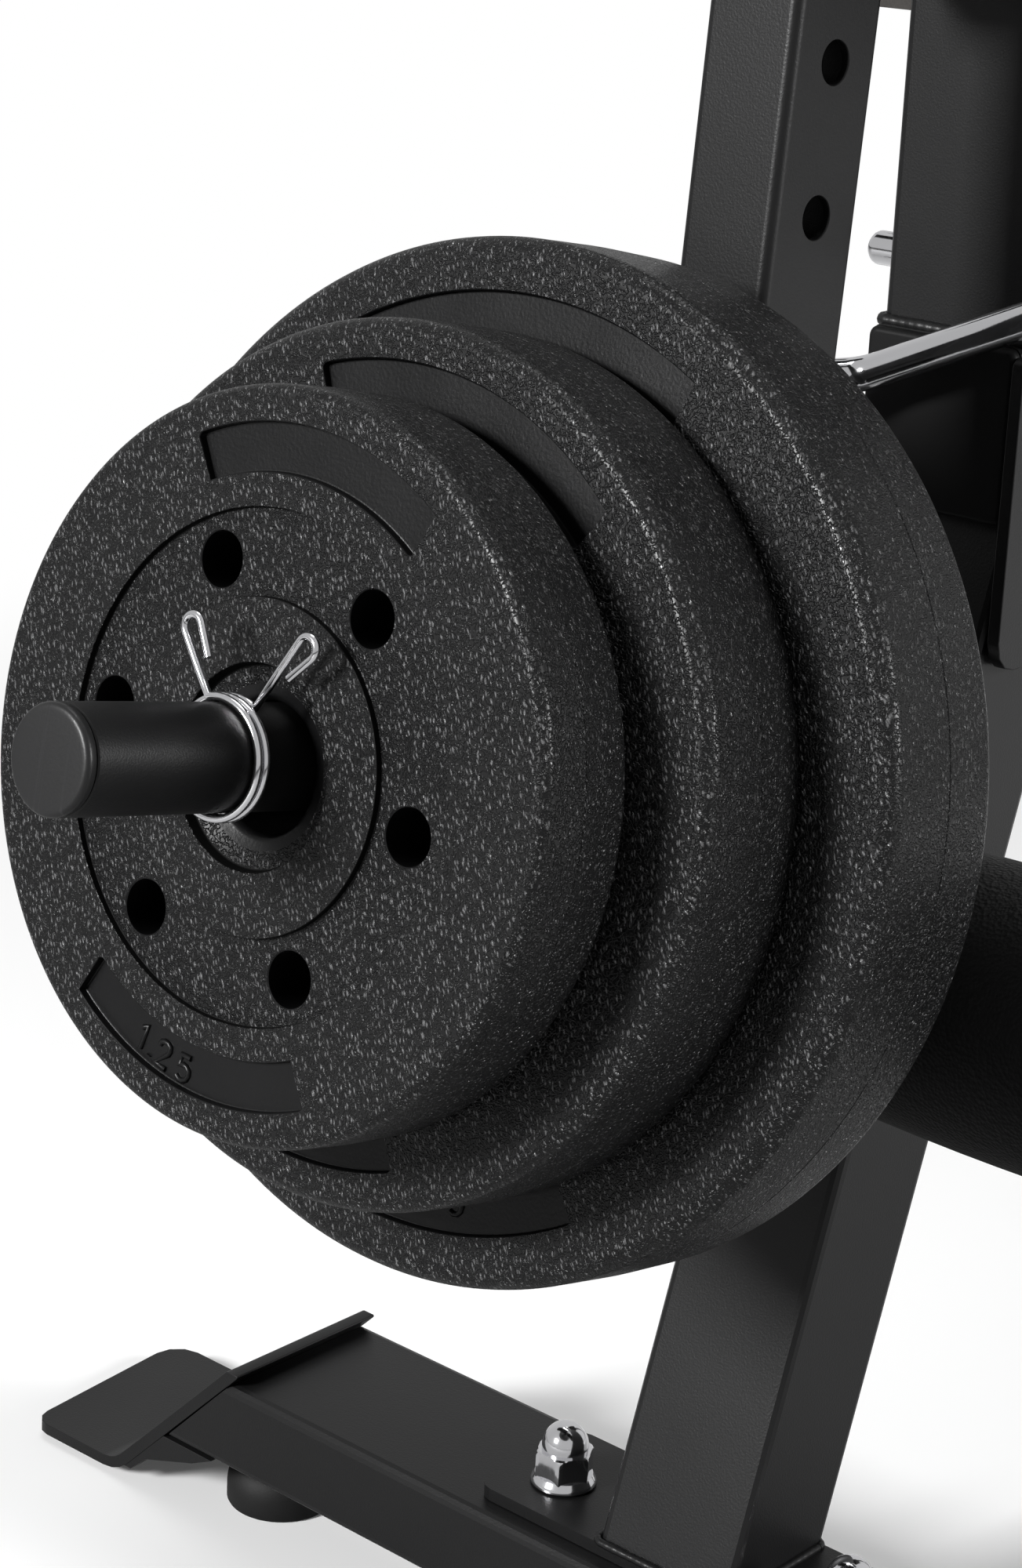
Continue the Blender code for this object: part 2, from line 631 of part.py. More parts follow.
def bend_corners(corners, radius, steps=5):
    """Points of a path whose corners are bent round a radius."""
    points = [Vector(corners[0])]
    for before, here, after in zip(corners, corners[1:], corners[2:]):
        spot = Vector(here)
        back = (Vector(before) - spot).normalized()
        ahead = (Vector(after) - spot).normalized()
        half = back.angle(ahead) / 2
        centre = spot + (back + ahead).normalized() * radius / math.sin(half)
        start = spot + back * radius / math.tan(half) - centre
        end = spot + ahead * radius / math.tan(half) - centre
        sweep = start.rotation_difference(end)
        for step in range(steps + 1):
            points.append(centre + Quaternion().slerp(sweep, step / steps) @ start)
    points.append(Vector(corners[-1]))
    return points


def lock_pin(finish):
    """Bent chrome pin: straight through the socket, then folded back across its front."""
    frame = empty("lock_pin_axis", (0, POST_Y, LOCK_PIN_Z))
    front = -LOCK_PIN_FRONT_REACH
    fold = (LOCK_PIN_FOLD_X, front, LOCK_PIN_FOLD_Z - LOCK_PIN_Z)
    tail = (LOCK_PIN_FOLD_X - 0.7 * LOCK_PIN_TAIL, front - 0.7 * LOCK_PIN_TAIL, fold[2] - 0.002)
    corners = [
        (LOCK_PIN_TIP_X, 0, 0),
        (LOCK_PIN_SIDE_X, 0, 0),
        (LOCK_PIN_SIDE_X, front, LOCK_PIN_RISE),
        fold,
        tail,
    ]
    points = bend_corners(corners, LOCK_PIN_BEND)
    points.insert(1, Vector((LOCK_PIN_TIP_X + LOCK_PIN_DOME, 0, 0)))
    pin = bent_rod("lock_pin", points, LOCK_PIN_RADIUS, finish["chrome"], 2, frame)
    pin.data.splines[0].points[0].radius = 0.6
    return pin


def pivot_bracket(finish):
    """Two cheeks on the inner post that carry the lever, with their stop plate and bumper."""
    post_front = POST_Y - (BEAM_SIZE / 2 - TUBE_WALL - SLIDE_GAP) - FIT_GAP
    boss = []
    for step in range(9):
        angle = math.radians(60.0 + 190.0 * step / 8)
        boss.append((PIVOT_Y + BRACKET_BOSS * math.cos(angle), PIVOT_Z + BRACKET_BOSS * math.sin(angle)))
    outline = [(post_front, BRACKET_TOP)] + boss
    outline += [(PIVOT_Y + 0.022, BRACKET_BOTTOM), (post_front, BRACKET_BOTTOM)]
    inner = LEVER_WIDTH / 2 + BRACKET_SIDE_GAP
    for hand, side in (("left", -1), ("right", 1)):
        start = inner if side > 0 else -inner - BRACKET_THICKNESS
        cheek = prism("pivot_bracket_" + hand, outline, start, start + BRACKET_THICKNESS,
                      finish["frame"], rotation=(math.radians(90.0), 0.0, math.radians(90.0)))
        drill(cheek, "bracket_hole_" + hand, PIVOT_RADIUS + BOLT_GAP, 0.05,
              (0, PIVOT_Y, PIVOT_Z), ALONG_X)

    outer = inner + BRACKET_THICKNESS + FIT_GAP
    head = [(0.0100, outer), (0.0100, outer + 0.008)]
    bolt = lathe("pivot_bolt", [(PIVOT_RADIUS, -outer - 0.013), (PIVOT_RADIUS, outer + 0.001)],
                 finish["chrome"], (0, PIVOT_Y, PIVOT_Z), ALONG_X)
    bolt_head = lathe("pivot_bolt_head", head, finish["chrome"], (0, PIVOT_Y, PIVOT_Z), ALONG_X, steps=6)
    combine(bolt, bolt_head, "UNION")
    nut = lathe("pivot_bolt_nut", [(0.0100, -outer - 0.010), (0.0100, -outer)], finish["chrome"],
                (0, PIVOT_Y, PIVOT_Z), ALONG_X, steps=6)
    combine(bolt, nut, "UNION")

    tilt = empty("stop_frame", (0, PIVOT_Y, PIVOT_Z), rotation=(-LEVER_TILT, 0, 0))
    bumper_face = LEVER_DEPTH / 2 + FIT_GAP
    lathe("stop_bumper", [(BUMPER_RADIUS, 0), (BUMPER_RADIUS, BUMPER_LENGTH - 0.003),
                          (BUMPER_RADIUS - 0.002, BUMPER_LENGTH)], finish["rubber"],
          (0, bumper_face + BUMPER_LENGTH, -STOP_FROM_PIVOT), (math.radians(90.0), 0, 0), tilt)
    half = inner - FIT_GAP
    plate_y = bumper_face + BUMPER_LENGTH + FIT_GAP
    prism("stop_plate", rounded_outline(2 * half, STOP_PLATE_HEIGHT, 0.001, 1), 0.0,
          STOP_PLATE_THICKNESS, finish["frame"], (0, plate_y, -STOP_FROM_PIVOT), ALONG_Y, tilt)


def foam_roller(name, side, inner, centre, finish, parent=None):
    """Foam roller of slightly barrelled shape on an axle, with its end plug."""
    radius_in = AXLE_RADIUS + ROLLER_BORE_GAP
    half = ROLLER_LENGTH / 2
    outer = []
    for step in range(7):
        share = -1.0 + step / 3
        radius = ROLLER_RADIUS - ROLLER_WAIST * share * share
        outer.append((radius, half + half * share * 0.955))
    profile = [(radius_in, 0.0), (outer[0][0] - 0.005, 0.0)] + outer
    profile += [(outer[-1][0] - 0.005, ROLLER_LENGTH), (radius_in, ROLLER_LENGTH)]
    turn = (0.0, math.radians(90.0 * side), 0.0)
    start = (centre[0] + side * inner, centre[1], centre[2])
    roller = lathe(name, profile, finish["foam"], start, turn, parent, ROLLER_STEPS, bored=True)
    reach = inner + ROLLER_LENGTH + FIT_GAP
    plug = [(radius_in, 0.0), (END_PLUG_RADIUS, 0.0), (END_PLUG_RADIUS, END_PLUG_LENGTH - 0.001),
            (END_PLUG_RADIUS - 0.001, END_PLUG_LENGTH), (radius_in, END_PLUG_LENGTH)]
    lathe(name + "_end_ring", plug, finish["plastic"],
          (centre[0] + side * reach, centre[1], centre[2]), turn, parent, FINE_STEPS, bored=True)
    return roller


def axle(name, roller_inner, centre, finish, parent=None):
    """Straight tube that carries a pair of rollers, with wide heads at both ends."""
    inner = AXLE_RADIUS - TUBE_WALL
    head = END_PLUG_RADIUS - 0.003
    shoulder = roller_inner + ROLLER_LENGTH + END_PLUG_LENGTH + 3 * FIT_GAP
    end = shoulder + AXLE_HEAD
    profile = [(inner, -end), (head, -end), (head, -shoulder), (AXLE_RADIUS, -shoulder),
               (AXLE_RADIUS, shoulder), (head, shoulder), (head, end), (inner, end)]
    return lathe(name, profile, finish["frame"], centre, ALONG_X, parent, FINE_STEPS, bored=True)


def lever(finish):
    """Hanging lever with its holes, sleeve, stop ring, caps and lower rollers."""
    frame = empty("lever_axis", (0, PIVOT_Y, PIVOT_Z), rotation=(-LEVER_TILT, 0, 0))
    arm = square_tube("lever_arm", LEVER_WIDTH, LEVER_DEPTH, -LEVER_BOTTOM, LEVER_TOP, finish["frame"],
                      parent=frame)
    drill(arm, "arm_pivot_hole", PIVOT_RADIUS + BOLT_GAP, 0.05, (0, 0, 0), ALONG_X, frame)
    for index in range(LEVER_HOLE_COUNT):
        height = -LEVER_FIRST_HOLE - index * LEVER_HOLE_PITCH
        drill(arm, "arm_hole_" + str(index), LEVER_HOLE_RADIUS, 0.05, (0, 0, height), ALONG_X, frame)
    drill(arm, "arm_axle_hole", AXLE_RADIUS + BOLT_GAP, 0.05, (0, 0, -LOWER_AXLE_FROM_PIVOT),
          ALONG_X, frame)
    tube_cap("lever_end_cap", LEVER_WIDTH, LEVER_DEPTH, finish, (0, 0, -LEVER_BOTTOM),
             (math.radians(180.0), 0, 0), frame, SHORT_PLUG)
    tube_cap("lever_top_cap", LEVER_WIDTH, LEVER_DEPTH, finish, (0, 0, LEVER_TOP), (0, 0, 0), frame,
             SHORT_PLUG)

    lower = (0, 0, -LOWER_AXLE_FROM_PIVOT)
    axle("lower_roller_axle", LOWER_ROLLER_INNER, lower, finish, frame)
    for hand, side in (("left", -1), ("right", 1)):
        foam_roller("lower_roller_" + hand, side, LOWER_ROLLER_INNER, lower, finish, frame)
    return frame


def weight_sleeve(frame, finish):
    """Sleeve out of the lever's front face, its end cap and the ring that stops the plates."""
    rise = SLEEVE_TILT - LEVER_TILT
    axis = empty("sleeve_axis", (0, 0, -SLEEVE_FROM_PIVOT), frame, (math.radians(90.0) - rise, 0, 0))
    wall = SLEEVE_RADIUS - TUBE_WALL
    tube = lathe("weight_sleeve", [(wall, 0.0), (SLEEVE_RADIUS, 0.0), (SLEEVE_RADIUS, SLEEVE_REACH),
                                   (wall, SLEEVE_REACH)], finish["plastic"], (0, 0, 0), (0, 0, 0), axis,
                 32, bored=True)
    slot = prism("sleeve_root_cut", rounded_outline(0.060, 0.060, 0.002, 1), -0.05,
                 LEVER_DEPTH / 2 + FIT_GAP, finish["frame"], (0, 0, -SLEEVE_FROM_PIVOT),
                 (math.radians(90.0), 0, 0), frame)
    combine(tube, slot, "DIFFERENCE")
    plug = SLEEVE_RADIUS - TUBE_WALL - FIT_GAP
    cap = [(plug, SLEEVE_REACH - 0.018), (plug, SLEEVE_REACH + FIT_GAP),
           (SLEEVE_RADIUS, SLEEVE_REACH + FIT_GAP),
           (SLEEVE_RADIUS, SLEEVE_REACH + SLEEVE_CAP_HEAD - 0.0012),
           (SLEEVE_RADIUS - 0.0012, SLEEVE_REACH + SLEEVE_CAP_HEAD)]
    lathe("sleeve_end_cap", cap, finish["plastic"], parent=axis, steps=32)
    ring_top = plates_back()
    ring_low = ring_top - STOP_RING_LENGTH
    bore = SLEEVE_RADIUS + FIT_GAP
    ring = [(bore, ring_low), (STOP_RING_RADIUS - 0.001, ring_low), (STOP_RING_RADIUS, ring_low + 0.001),
            (STOP_RING_RADIUS, ring_top - 0.001), (STOP_RING_RADIUS - 0.001, ring_top), (bore, ring_top)]
    lathe("sleeve_stop_ring", ring, finish["frame"], parent=axis, bored=True)
    return axis


def plates_back():
    """Distance along the sleeve to where the stack of plates ends and the stop ring begins."""
    return PLATE_FACE_REACH - sum(plate["thickness"] + plate["behind"] for plate in PLATES)


def plate_profile(plate):
    """Half section of a plate, from the back of its bore round by its face and its rim."""
    thickness = plate["thickness"]
    rounding = plate["rounding"]
    corner = rounding * (1.0 - math.sqrt(0.5))
    front_edge = plate["radius"] - RIM_DRAFT * (plate["seam"] - rounding)
    back_edge = plate["radius"] - RIM_DRAFT * (thickness - plate["seam"] - rounding)
    return [
        (PLATE_BORE_RADIUS, -thickness),
        (PLATE_BORE_RADIUS, -BORE_LIP_DEPTH),
        ((2 * PLATE_BORE_RADIUS + HUB_LIP_RADIUS) / 3, -(BORE_LIP_DEPTH + 2 * HUB_LIP_DEPTH) / 3),
        (HUB_LIP_RADIUS, -HUB_LIP_DEPTH),
        (HUB_RECESS_RADIUS - STEP_DRAFT, -HUB_RECESS_DEPTH),
        (HUB_RECESS_RADIUS, 0.0),
        (plate["boss"] - STEP_DRAFT, 0.0),
        (plate["boss"], -FACE_RECESS_DEPTH),
        (plate["recess"], -FACE_RECESS_DEPTH),
        (plate["recess"] + STEP_DRAFT, 0.0),
        (front_edge - rounding, 0.0),
        (front_edge - corner, -corner),
        (front_edge, -rounding),
        (plate["radius"], -plate["seam"]),
        (back_edge, rounding - thickness),
        (back_edge - corner, corner - thickness),
        (back_edge - rounding, -thickness),
    ]


def weight_plate(axis, face, values, finish):
    """Moulded plate: hub, recessed ring, drilled holes, curved pockets and a rounded, drafted rim."""
    name = values["name"]
    thickness = values["thickness"]
    drop = PLATE_BORE_RADIUS - SLEEVE_RADIUS - FIT_GAP
    frame = empty(name + "_axis", (0, -drop, face), axis, (0, 0, math.radians(values["turn"])))
    plate = lathe(name, plate_profile(values), finish["plate"], parent=frame, steps=PLATE_STEPS,
                  bored=True, first=math.radians(2.3))
    for index in range(HOLE_COUNT):
        angle = math.radians(120.0 + 60.0 * index)
        spot = (values["hole_reach"] * math.cos(angle), values["hole_reach"] * math.sin(angle),
                -thickness / 2)
        drill(plate, name + "_hole_" + str(index), HOLE_RADIUS, thickness, spot, parent=frame)
    half = values["pocket_half"]
    for index, middle in enumerate((90.0, 270.0)):
        arc = [math.radians(middle - half + 2 * half * step / 10) for step in range(11)]
        outline = [(values["pocket_out"] * math.cos(a), values["pocket_out"] * math.sin(a)) for a in arc]
        outline += [(values["pocket_in"] * math.cos(a), values["pocket_in"] * math.sin(a))
                    for a in reversed(arc)]
        tool = prism(name + "_pocket_" + str(index), outline, -POCKET_DEPTH, POCKET_DEPTH,
                     finish["plate"], parent=frame)
        combine(plate, tool, "DIFFERENCE")
    return plate


def clip_points():
    """Path of the clip: two hooked finger loops joined by its turns round the sleeve."""
    coil_radius = SLEEVE_RADIUS + CLIP_WIRE_RADIUS + SLIDE_GAP
    middle = math.radians(87.0)
    half_turn = CLIP_TURNS * math.pi
    span = CLIP_TURNS * CLIP_PITCH
    count = 48
    coil = []
    for step in range(count + 1):
        share = step / count
        angle = middle - half_turn + 2 * half_turn * share
        coil.append(Vector((coil_radius * math.cos(angle), coil_radius * math.sin(angle),
                            span * (share - 0.5))))

    def arm(foot, direction, inward):
        """Straight arm, round loop and short return, from the coil outwards."""
        out = Vector((math.cos(direction), math.sin(direction), 0.0))
        across = Vector((-out.y, out.x, 0.0)) * inward
        tip = foot + out * CLIP_ARM
        loop = []
        for step in range(1, 9):
            angle = math.pi * step / 8
            loop.append(tip + across * CLIP_LOOP_RADIUS * (1 - math.cos(angle))
                        + out * CLIP_LOOP_RADIUS * math.sin(angle))
        end = loop[-1] - out * CLIP_ARM * 0.42
        straight = [foot.lerp(tip, share) for share in (0.25, 0.5, 0.75, 1.0)]
        return straight + loop + [end]

    first = arm(coil[0], middle + CLIP_SPREAD, -1)
    last = arm(coil[-1], middle - CLIP_SPREAD, -1)
    return list(reversed(first)) + coil + last


def least_clip_gap(points):
    """Smallest clear distance between stretches of the wire that aren't neighbours."""
    least = 1.0
    along = [0.0]
    for before, after in zip(points, points[1:]):
        along.append(along[-1] + (after - before).length)
    for low in range(len(points)):
        for high in range(low + 1, len(points)):
            if along[high] - along[low] > 8 * CLIP_WIRE_RADIUS:
                least = min(least, (points[high] - points[low]).length - 2 * CLIP_WIRE_RADIUS)
    return least


def spring_clip(axis, finish):
    """Wire clip that grips the sleeve in front of the plates."""
    frame = empty("clip_axis", (0, 0, PLATE_FACE_REACH + CLIP_REACH), axis)
    points = clip_points()
    print("least gap of the clip's wire to itself, mm:", round(least_clip_gap(points) * 1000, 2))
    return bent_rod("spring_clip", points, CLIP_WIRE_RADIUS, finish["chrome"], 1, frame)


def crowned_pad(name, half_low, half_high, length, thickness, finish, parent=None,
                location=(0, 0, 0), rotation=(0, 0, 0)):
    """Cushion along Y with a crowned top and sides drawn in at its base."""
    layers = ((0.0, 0.006), (0.004, 0.001), (0.30, 0.0), (0.62, 0.001), (0.86, 0.007), (0.97, 0.020))
    rings = []
    for rise, draw_in in layers:
        height = rise * thickness
        ring = []
        for x, y in rounded_outline(2.0, 2.0, 0.24, 5):
            share = (y + 1) / 2
            half = half_low + (half_high - half_low) * share
            ring.append((x * (half - draw_in), length / 2 + y * (length / 2 - draw_in), height))
        rings.append(ring)
    crown = []
    for x, y in rounded_outline(1.2, 1.2, 0.3, 5):
        share = (y + 1) / 2
        half = half_low + (half_high - half_low) * share
        crown.append((x * half, length / 2 + y * length / 2, thickness))
    rings.append(crown)
    return finish_mesh(name, rings_mesh(rings, False), finish["vinyl"], location, rotation, parent)


def board(name, half_low, half_high, length, finish, parent=None, location=(0, 0, 0),
          rotation=(0, 0, 0)):
    """Plywood board under a cushion, slightly smaller than the cushion."""
    inset = 0.006
    shape = [(-half_low + inset, inset), (half_low - inset, inset),
             (half_high - inset, length - inset), (-half_high + inset, length - inset)]
    outline = rounded_polygon(shape, [PAD_CORNER] * 4, 4)
    return prism(name, outline, 0.0, BOARD_THICKNESS, finish["board"], location, rotation, parent)


def seat(finish):
    """Seat cushion on its board, on two short supports with top plates."""
    support_places = (("front", SEAT_FRONT_Y + SEAT_SUPPORT_FRONT_INSET),
                      ("rear", SEAT_FRONT_Y + SEAT_LENGTH - SEAT_SUPPORT_REAR_INSET))
    for label, y in support_places:
        top = BOARD_BOTTOM - FIT_GAP
        support = square_tube("seat_support_" + label, SEAT_SUPPORT_SIZE, SEAT_SUPPORT_SIZE,
                              BEAM_TOP + FIT_GAP, top - SUPPORT_PLATE_THICKNESS / 2, finish["frame"],
                              location=(0, y, 0))
        outline = rounded_outline(2 * SUPPORT_PLATE_HALF_X, 2 * SUPPORT_PLATE_HALF_Y, 0.006)
        plate = prism("seat_support_plate_" + label, outline, top - SUPPORT_PLATE_THICKNESS, top,
                      finish["frame"], location=(0, y, 0))
        combine(support, plate, "UNION")
    board("seat_board", SEAT_HALF_WIDTH, SEAT_HALF_WIDTH, SEAT_LENGTH, finish,
          location=(0, SEAT_FRONT_Y, BOARD_BOTTOM))
    crowned_pad("seat_pad", SEAT_HALF_WIDTH, SEAT_HALF_WIDTH, SEAT_LENGTH, PAD_THICKNESS, finish,
                location=(0, SEAT_FRONT_Y, BOARD_BOTTOM + BOARD_THICKNESS + FIT_GAP))


def hinge_bracket(name, side, finish):
    """Upright beside the main beam that holds the backrest's hinge bolt."""
    inner = BEAM_SIZE / 2 + FIT_GAP
    low = BEAM_TOP - BEAM_SIZE
    boss = []
    for step in range(9):
        angle = math.radians(-10.0 + 200.0 * step / 8)
        boss.append((HINGE_Y + HINGE_BOSS_RADIUS * math.cos(angle),
                     HINGE_Z + HINGE_BOSS_RADIUS * math.sin(angle)))
    outline = [(HINGE_Y + HINGE_BRACKET_HALF, low), (HINGE_Y + HINGE_BRACKET_HALF, BEAM_TOP)] + boss
    outline += [(HINGE_Y - HINGE_BRACKET_HALF, BEAM_TOP), (HINGE_Y - HINGE_BRACKET_HALF, low)]
    start = inner if side > 0 else -inner - HINGE_BRACKET_THICKNESS
    made = prism(name, outline, start, start + HINGE_BRACKET_THICKNESS, finish["frame"],
                 rotation=(math.radians(90.0), 0.0, math.radians(90.0)))
    drill(made, name + "_hinge_hole", HINGE_RADIUS + BOLT_GAP, 0.05, (0, HINGE_Y, HINGE_Z), ALONG_X)
    if side > 0:
        drill(made, name + "_selector_hole", SELECTOR_RADIUS + BOLT_GAP, 0.05,
              (0, HINGE_Y, HINGE_Z - SECTOR_HOLE_REACH), ALONG_X)
        barrel = [(SELECTOR_RADIUS + BOLT_GAP, 0.0), (SELECTOR_BARREL_RADIUS, 0.0),
                  (SELECTOR_BARREL_RADIUS, SELECTOR_BARREL_LENGTH),
                  (SELECTOR_RADIUS + BOLT_GAP, SELECTOR_BARREL_LENGTH)]
        housing = lathe(name + "_selector_barrel", barrel, finish["frame"],
                        (start + HINGE_BRACKET_THICKNESS - 0.001, HINGE_Y, HINGE_Z - SECTOR_HOLE_REACH),
                        ALONG_X, bored=True)
        combine(made, housing, "UNION")
    return made


def backrest(finish):
    """Hinged backrest: tube with toothed sector plate, board, cushion, bolt and selector pin."""
    for hand, side in (("left", -1), ("right", 1)):
        hinge_bracket("backrest_bracket_" + hand, side, finish)
    outer = BEAM_SIZE / 2 + FIT_GAP + HINGE_BRACKET_THICKNESS + FIT_GAP
    bolt = lathe("hinge_bolt", [(HINGE_RADIUS, -outer - 0.012), (HINGE_RADIUS, outer + 0.001)],
                 finish["chrome"], (0, HINGE_Y, HINGE_Z), ALONG_X)
    head = lathe("hinge_bolt_head", [(0.0095, outer), (0.0095, outer + 0.007)], finish["chrome"],
                 (0, HINGE_Y, HINGE_Z), ALONG_X, steps=6)
    combine(bolt, head, "UNION")
    nut = lathe("hinge_bolt_nut", [(0.0095, -outer - 0.009), (0.0095, -outer)], finish["chrome"],
                (0, HINGE_Y, HINGE_Z), ALONG_X, steps=6)
    combine(bolt, nut, "UNION")

    frame = empty("backrest_axis", (0, HINGE_Y, HINGE_Z), rotation=(BACK_ANGLE, 0, 0))
    tube = square_tube("backrest_tube", BACK_TUBE_WIDTH, BACK_TUBE_HEIGHT, BACK_TUBE_START,
                       BACK_TUBE_START + BACK_TUBE_LENGTH, finish["frame"], rotation=ALONG_Y,
                       parent=frame)
    sector(tube, frame, finish)
    drill(tube, "tube_hinge_hole", HINGE_RADIUS + BOLT_GAP, 0.05, (0, 0, 0), ALONG_X, frame)
    tube_cap("backrest_tube_cap", BACK_TUBE_WIDTH, BACK_TUBE_HEIGHT, finish,
             (0, BACK_TUBE_START + BACK_TUBE_LENGTH, 0), ALONG_Y, frame)
    seat_plane = BACK_TUBE_HEIGHT / 2 + FIT_GAP
    board("backrest_board", BACK_PAD_HALF_WIDTH, BACK_PAD_TOP_HALF_WIDTH, BACK_PAD_LENGTH, finish,
          frame, (0, BACK_PAD_START, seat_plane))
    crowned_pad("backrest_pad", BACK_PAD_HALF_WIDTH, BACK_PAD_TOP_HALF_WIDTH, BACK_PAD_LENGTH,
                BACK_PAD_THICKNESS, finish, frame,
                (0, BACK_PAD_START, seat_plane + BOARD_THICKNESS + FIT_GAP))
    selector_pin(finish)


def sector(tube, frame, finish):
    """Sector plate welded beside the backrest tube, with one hole for each of its settings."""
    start = BACK_TUBE_WIDTH / 2 - TUBE_WALL / 2
    # In the tube's frame the selector sits straight below the hinge, turned back by the angle.
    setting = [-math.pi / 2 - SECTOR_STEP * index for index in range(SECTOR_HOLES)]
    reach = [setting[0] + math.radians(12.0), setting[-1] - math.radians(12.0)]
    outline = [(0.016, 0.0), (0.016, 0.0115)]
    outline += [(-0.020, 0.0115)]
    for step in range(15):
        angle = reach[1] + (reach[0] - reach[1]) * step / 14
        outline.append((SECTOR_RADIUS * math.cos(angle), SECTOR_RADIUS * math.sin(angle)))
    plate = prism("backrest_sector", outline, start, start + SECTOR_THICKNESS, finish["frame"],
                  rotation=(math.radians(90.0), 0.0, math.radians(90.0)), parent=frame)
    for index, angle in enumerate(setting):
        spot = (0, SECTOR_HOLE_REACH * math.cos(angle), SECTOR_HOLE_REACH * math.sin(angle))
        drill(plate, "sector_hole_" + str(index), SELECTOR_RADIUS + BOLT_GAP, 0.05, spot, ALONG_X,
              frame, 12)
    combine(tube, plate, "UNION")


def selector_pin(finish):
    """Spring pin with its knob, drawn out until its tip just clears the sector plate."""
    frame = empty("selector_axis", (0, HINGE_Y, HINGE_Z - SECTOR_HOLE_REACH))
    tip = BACK_TUBE_WIDTH / 2 - TUBE_WALL / 2 + SECTOR_THICKNESS + 2 * FIT_GAP
    barrel_end = BEAM_SIZE / 2 + FIT_GAP + HINGE_BRACKET_THICKNESS - 0.001 + SELECTOR_BARREL_LENGTH
    knob_start = barrel_end + SELECTOR_TRAVEL + 2 * FIT_GAP
    pin = [(SELECTOR_RADIUS - 0.0008, tip), (SELECTOR_RADIUS, tip + 0.001),
           (SELECTOR_RADIUS, knob_start), (SELECTOR_KNOB_RADIUS * 0.8, knob_start),
           (SELECTOR_KNOB_RADIUS, knob_start + 0.006),
           (SELECTOR_KNOB_RADIUS, knob_start + SELECTOR_KNOB_LENGTH - 0.003),
           (SELECTOR_KNOB_RADIUS - 0.003, knob_start + SELECTOR_KNOB_LENGTH)]
    return lathe("selector_pin", pin, finish["plastic"], rotation=ALONG_X, parent=frame)


def upper_rollers(finish):
    """Rollers behind the user's knees, on an axle through the inner post."""
    centre = (0, POST_Y, UPPER_AXLE_Z)
    axle("upper_roller_axle", UPPER_ROLLER_INNER, centre, finish)
    for hand, side in (("left", -1), ("right", 1)):
        foam_roller("upper_roller_" + hand, side, UPPER_ROLLER_INNER, centre, finish)


def build():
    """Model every piece of the bench."""
    clear_scene()
    finish = make_materials()
    main_frame(finish)
    lock_pin(finish)
    pivot_bracket(finish)
    frame = lever(finish)
    axis = weight_sleeve(frame, finish)
    face = plates_back()
    for values in PLATES:
        face += values["behind"] + values["thickness"]
        weight_plate(axis, face, values, finish)
    spring_clip(axis, finish)
    upper_rollers(finish)
    seat(finish)
    backrest(finish)
    bpy.context.view_layer.update()


build()
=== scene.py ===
"""Looks of a black utility bench with a plate-loaded leg lever, seen close at its front.

Lengths are in metres, or in millimetres where a comment says so, and match the solids. The camera
was solved from the photograph.
"""

import json
import math
from collections import namedtuple

import bmesh
import bpy
from mathutils import Matrix, Quaternion, Vector


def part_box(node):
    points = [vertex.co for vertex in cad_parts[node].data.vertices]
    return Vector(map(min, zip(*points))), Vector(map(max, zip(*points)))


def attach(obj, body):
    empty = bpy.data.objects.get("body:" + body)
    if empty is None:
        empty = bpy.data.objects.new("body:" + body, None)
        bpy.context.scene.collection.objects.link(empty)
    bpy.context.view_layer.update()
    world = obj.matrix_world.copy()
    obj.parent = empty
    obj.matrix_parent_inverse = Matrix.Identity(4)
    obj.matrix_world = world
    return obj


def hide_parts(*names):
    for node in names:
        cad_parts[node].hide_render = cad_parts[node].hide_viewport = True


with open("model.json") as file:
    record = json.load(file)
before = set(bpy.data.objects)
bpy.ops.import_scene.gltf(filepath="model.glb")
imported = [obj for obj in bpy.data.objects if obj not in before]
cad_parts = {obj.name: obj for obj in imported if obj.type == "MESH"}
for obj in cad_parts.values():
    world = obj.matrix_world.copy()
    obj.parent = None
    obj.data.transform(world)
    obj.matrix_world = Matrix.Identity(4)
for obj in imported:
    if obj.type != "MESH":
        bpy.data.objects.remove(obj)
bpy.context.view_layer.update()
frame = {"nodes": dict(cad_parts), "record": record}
nodes = frame["nodes"]

# Camera
CAMERA_PLACE = Vector((0.51041, -1.13384, 0.56784))
CAMERA_YAW = math.radians(41.03)
CAMERA_PITCH = math.radians(17.88)
CAMERA_ROLL = math.radians(-2.66)
CAMERA_LENS = 50.37
SENSOR_HEIGHT = 24.0

# Lever, sleeve and plates, as in the solids
PIVOT = Vector((0.0, -0.4462, 0.572))
LEVER_TILT = math.radians(5.0)
LEVER_WIDTH = 0.029
LEVER_DEPTH = 0.0357
LEVER_TOP = 0.024
LEVER_BOTTOM = 0.338
LEVER_FIRST_HOLE = 0.0820
LEVER_HOLE_PITCH = 0.0386
LEVER_HOLE_COUNT = 4
LEVER_HOLE_RADIUS = 0.0055
SLEEVE_RISE = math.radians(6.0)
SLEEVE_FROM_PIVOT = 0.26324
SLEEVE_RADIUS = 0.0125
SLEEVE_REACH = 0.22906
PLATE_FACE_REACH = 0.17096
PLATE_DROP = 0.0025
LOWER_AXLE_FROM_PIVOT = 0.3062
CLIP_REACH = 0.0100
CLIP_WIRE = 0.001
AXLE_HOLE_RADIUS = 0.0114
PIVOT_HOLE_RADIUS = 0.0064
LOWER_ROLLER_INSET = 0.026
UPPER_ROLLER_INSET = 0.030

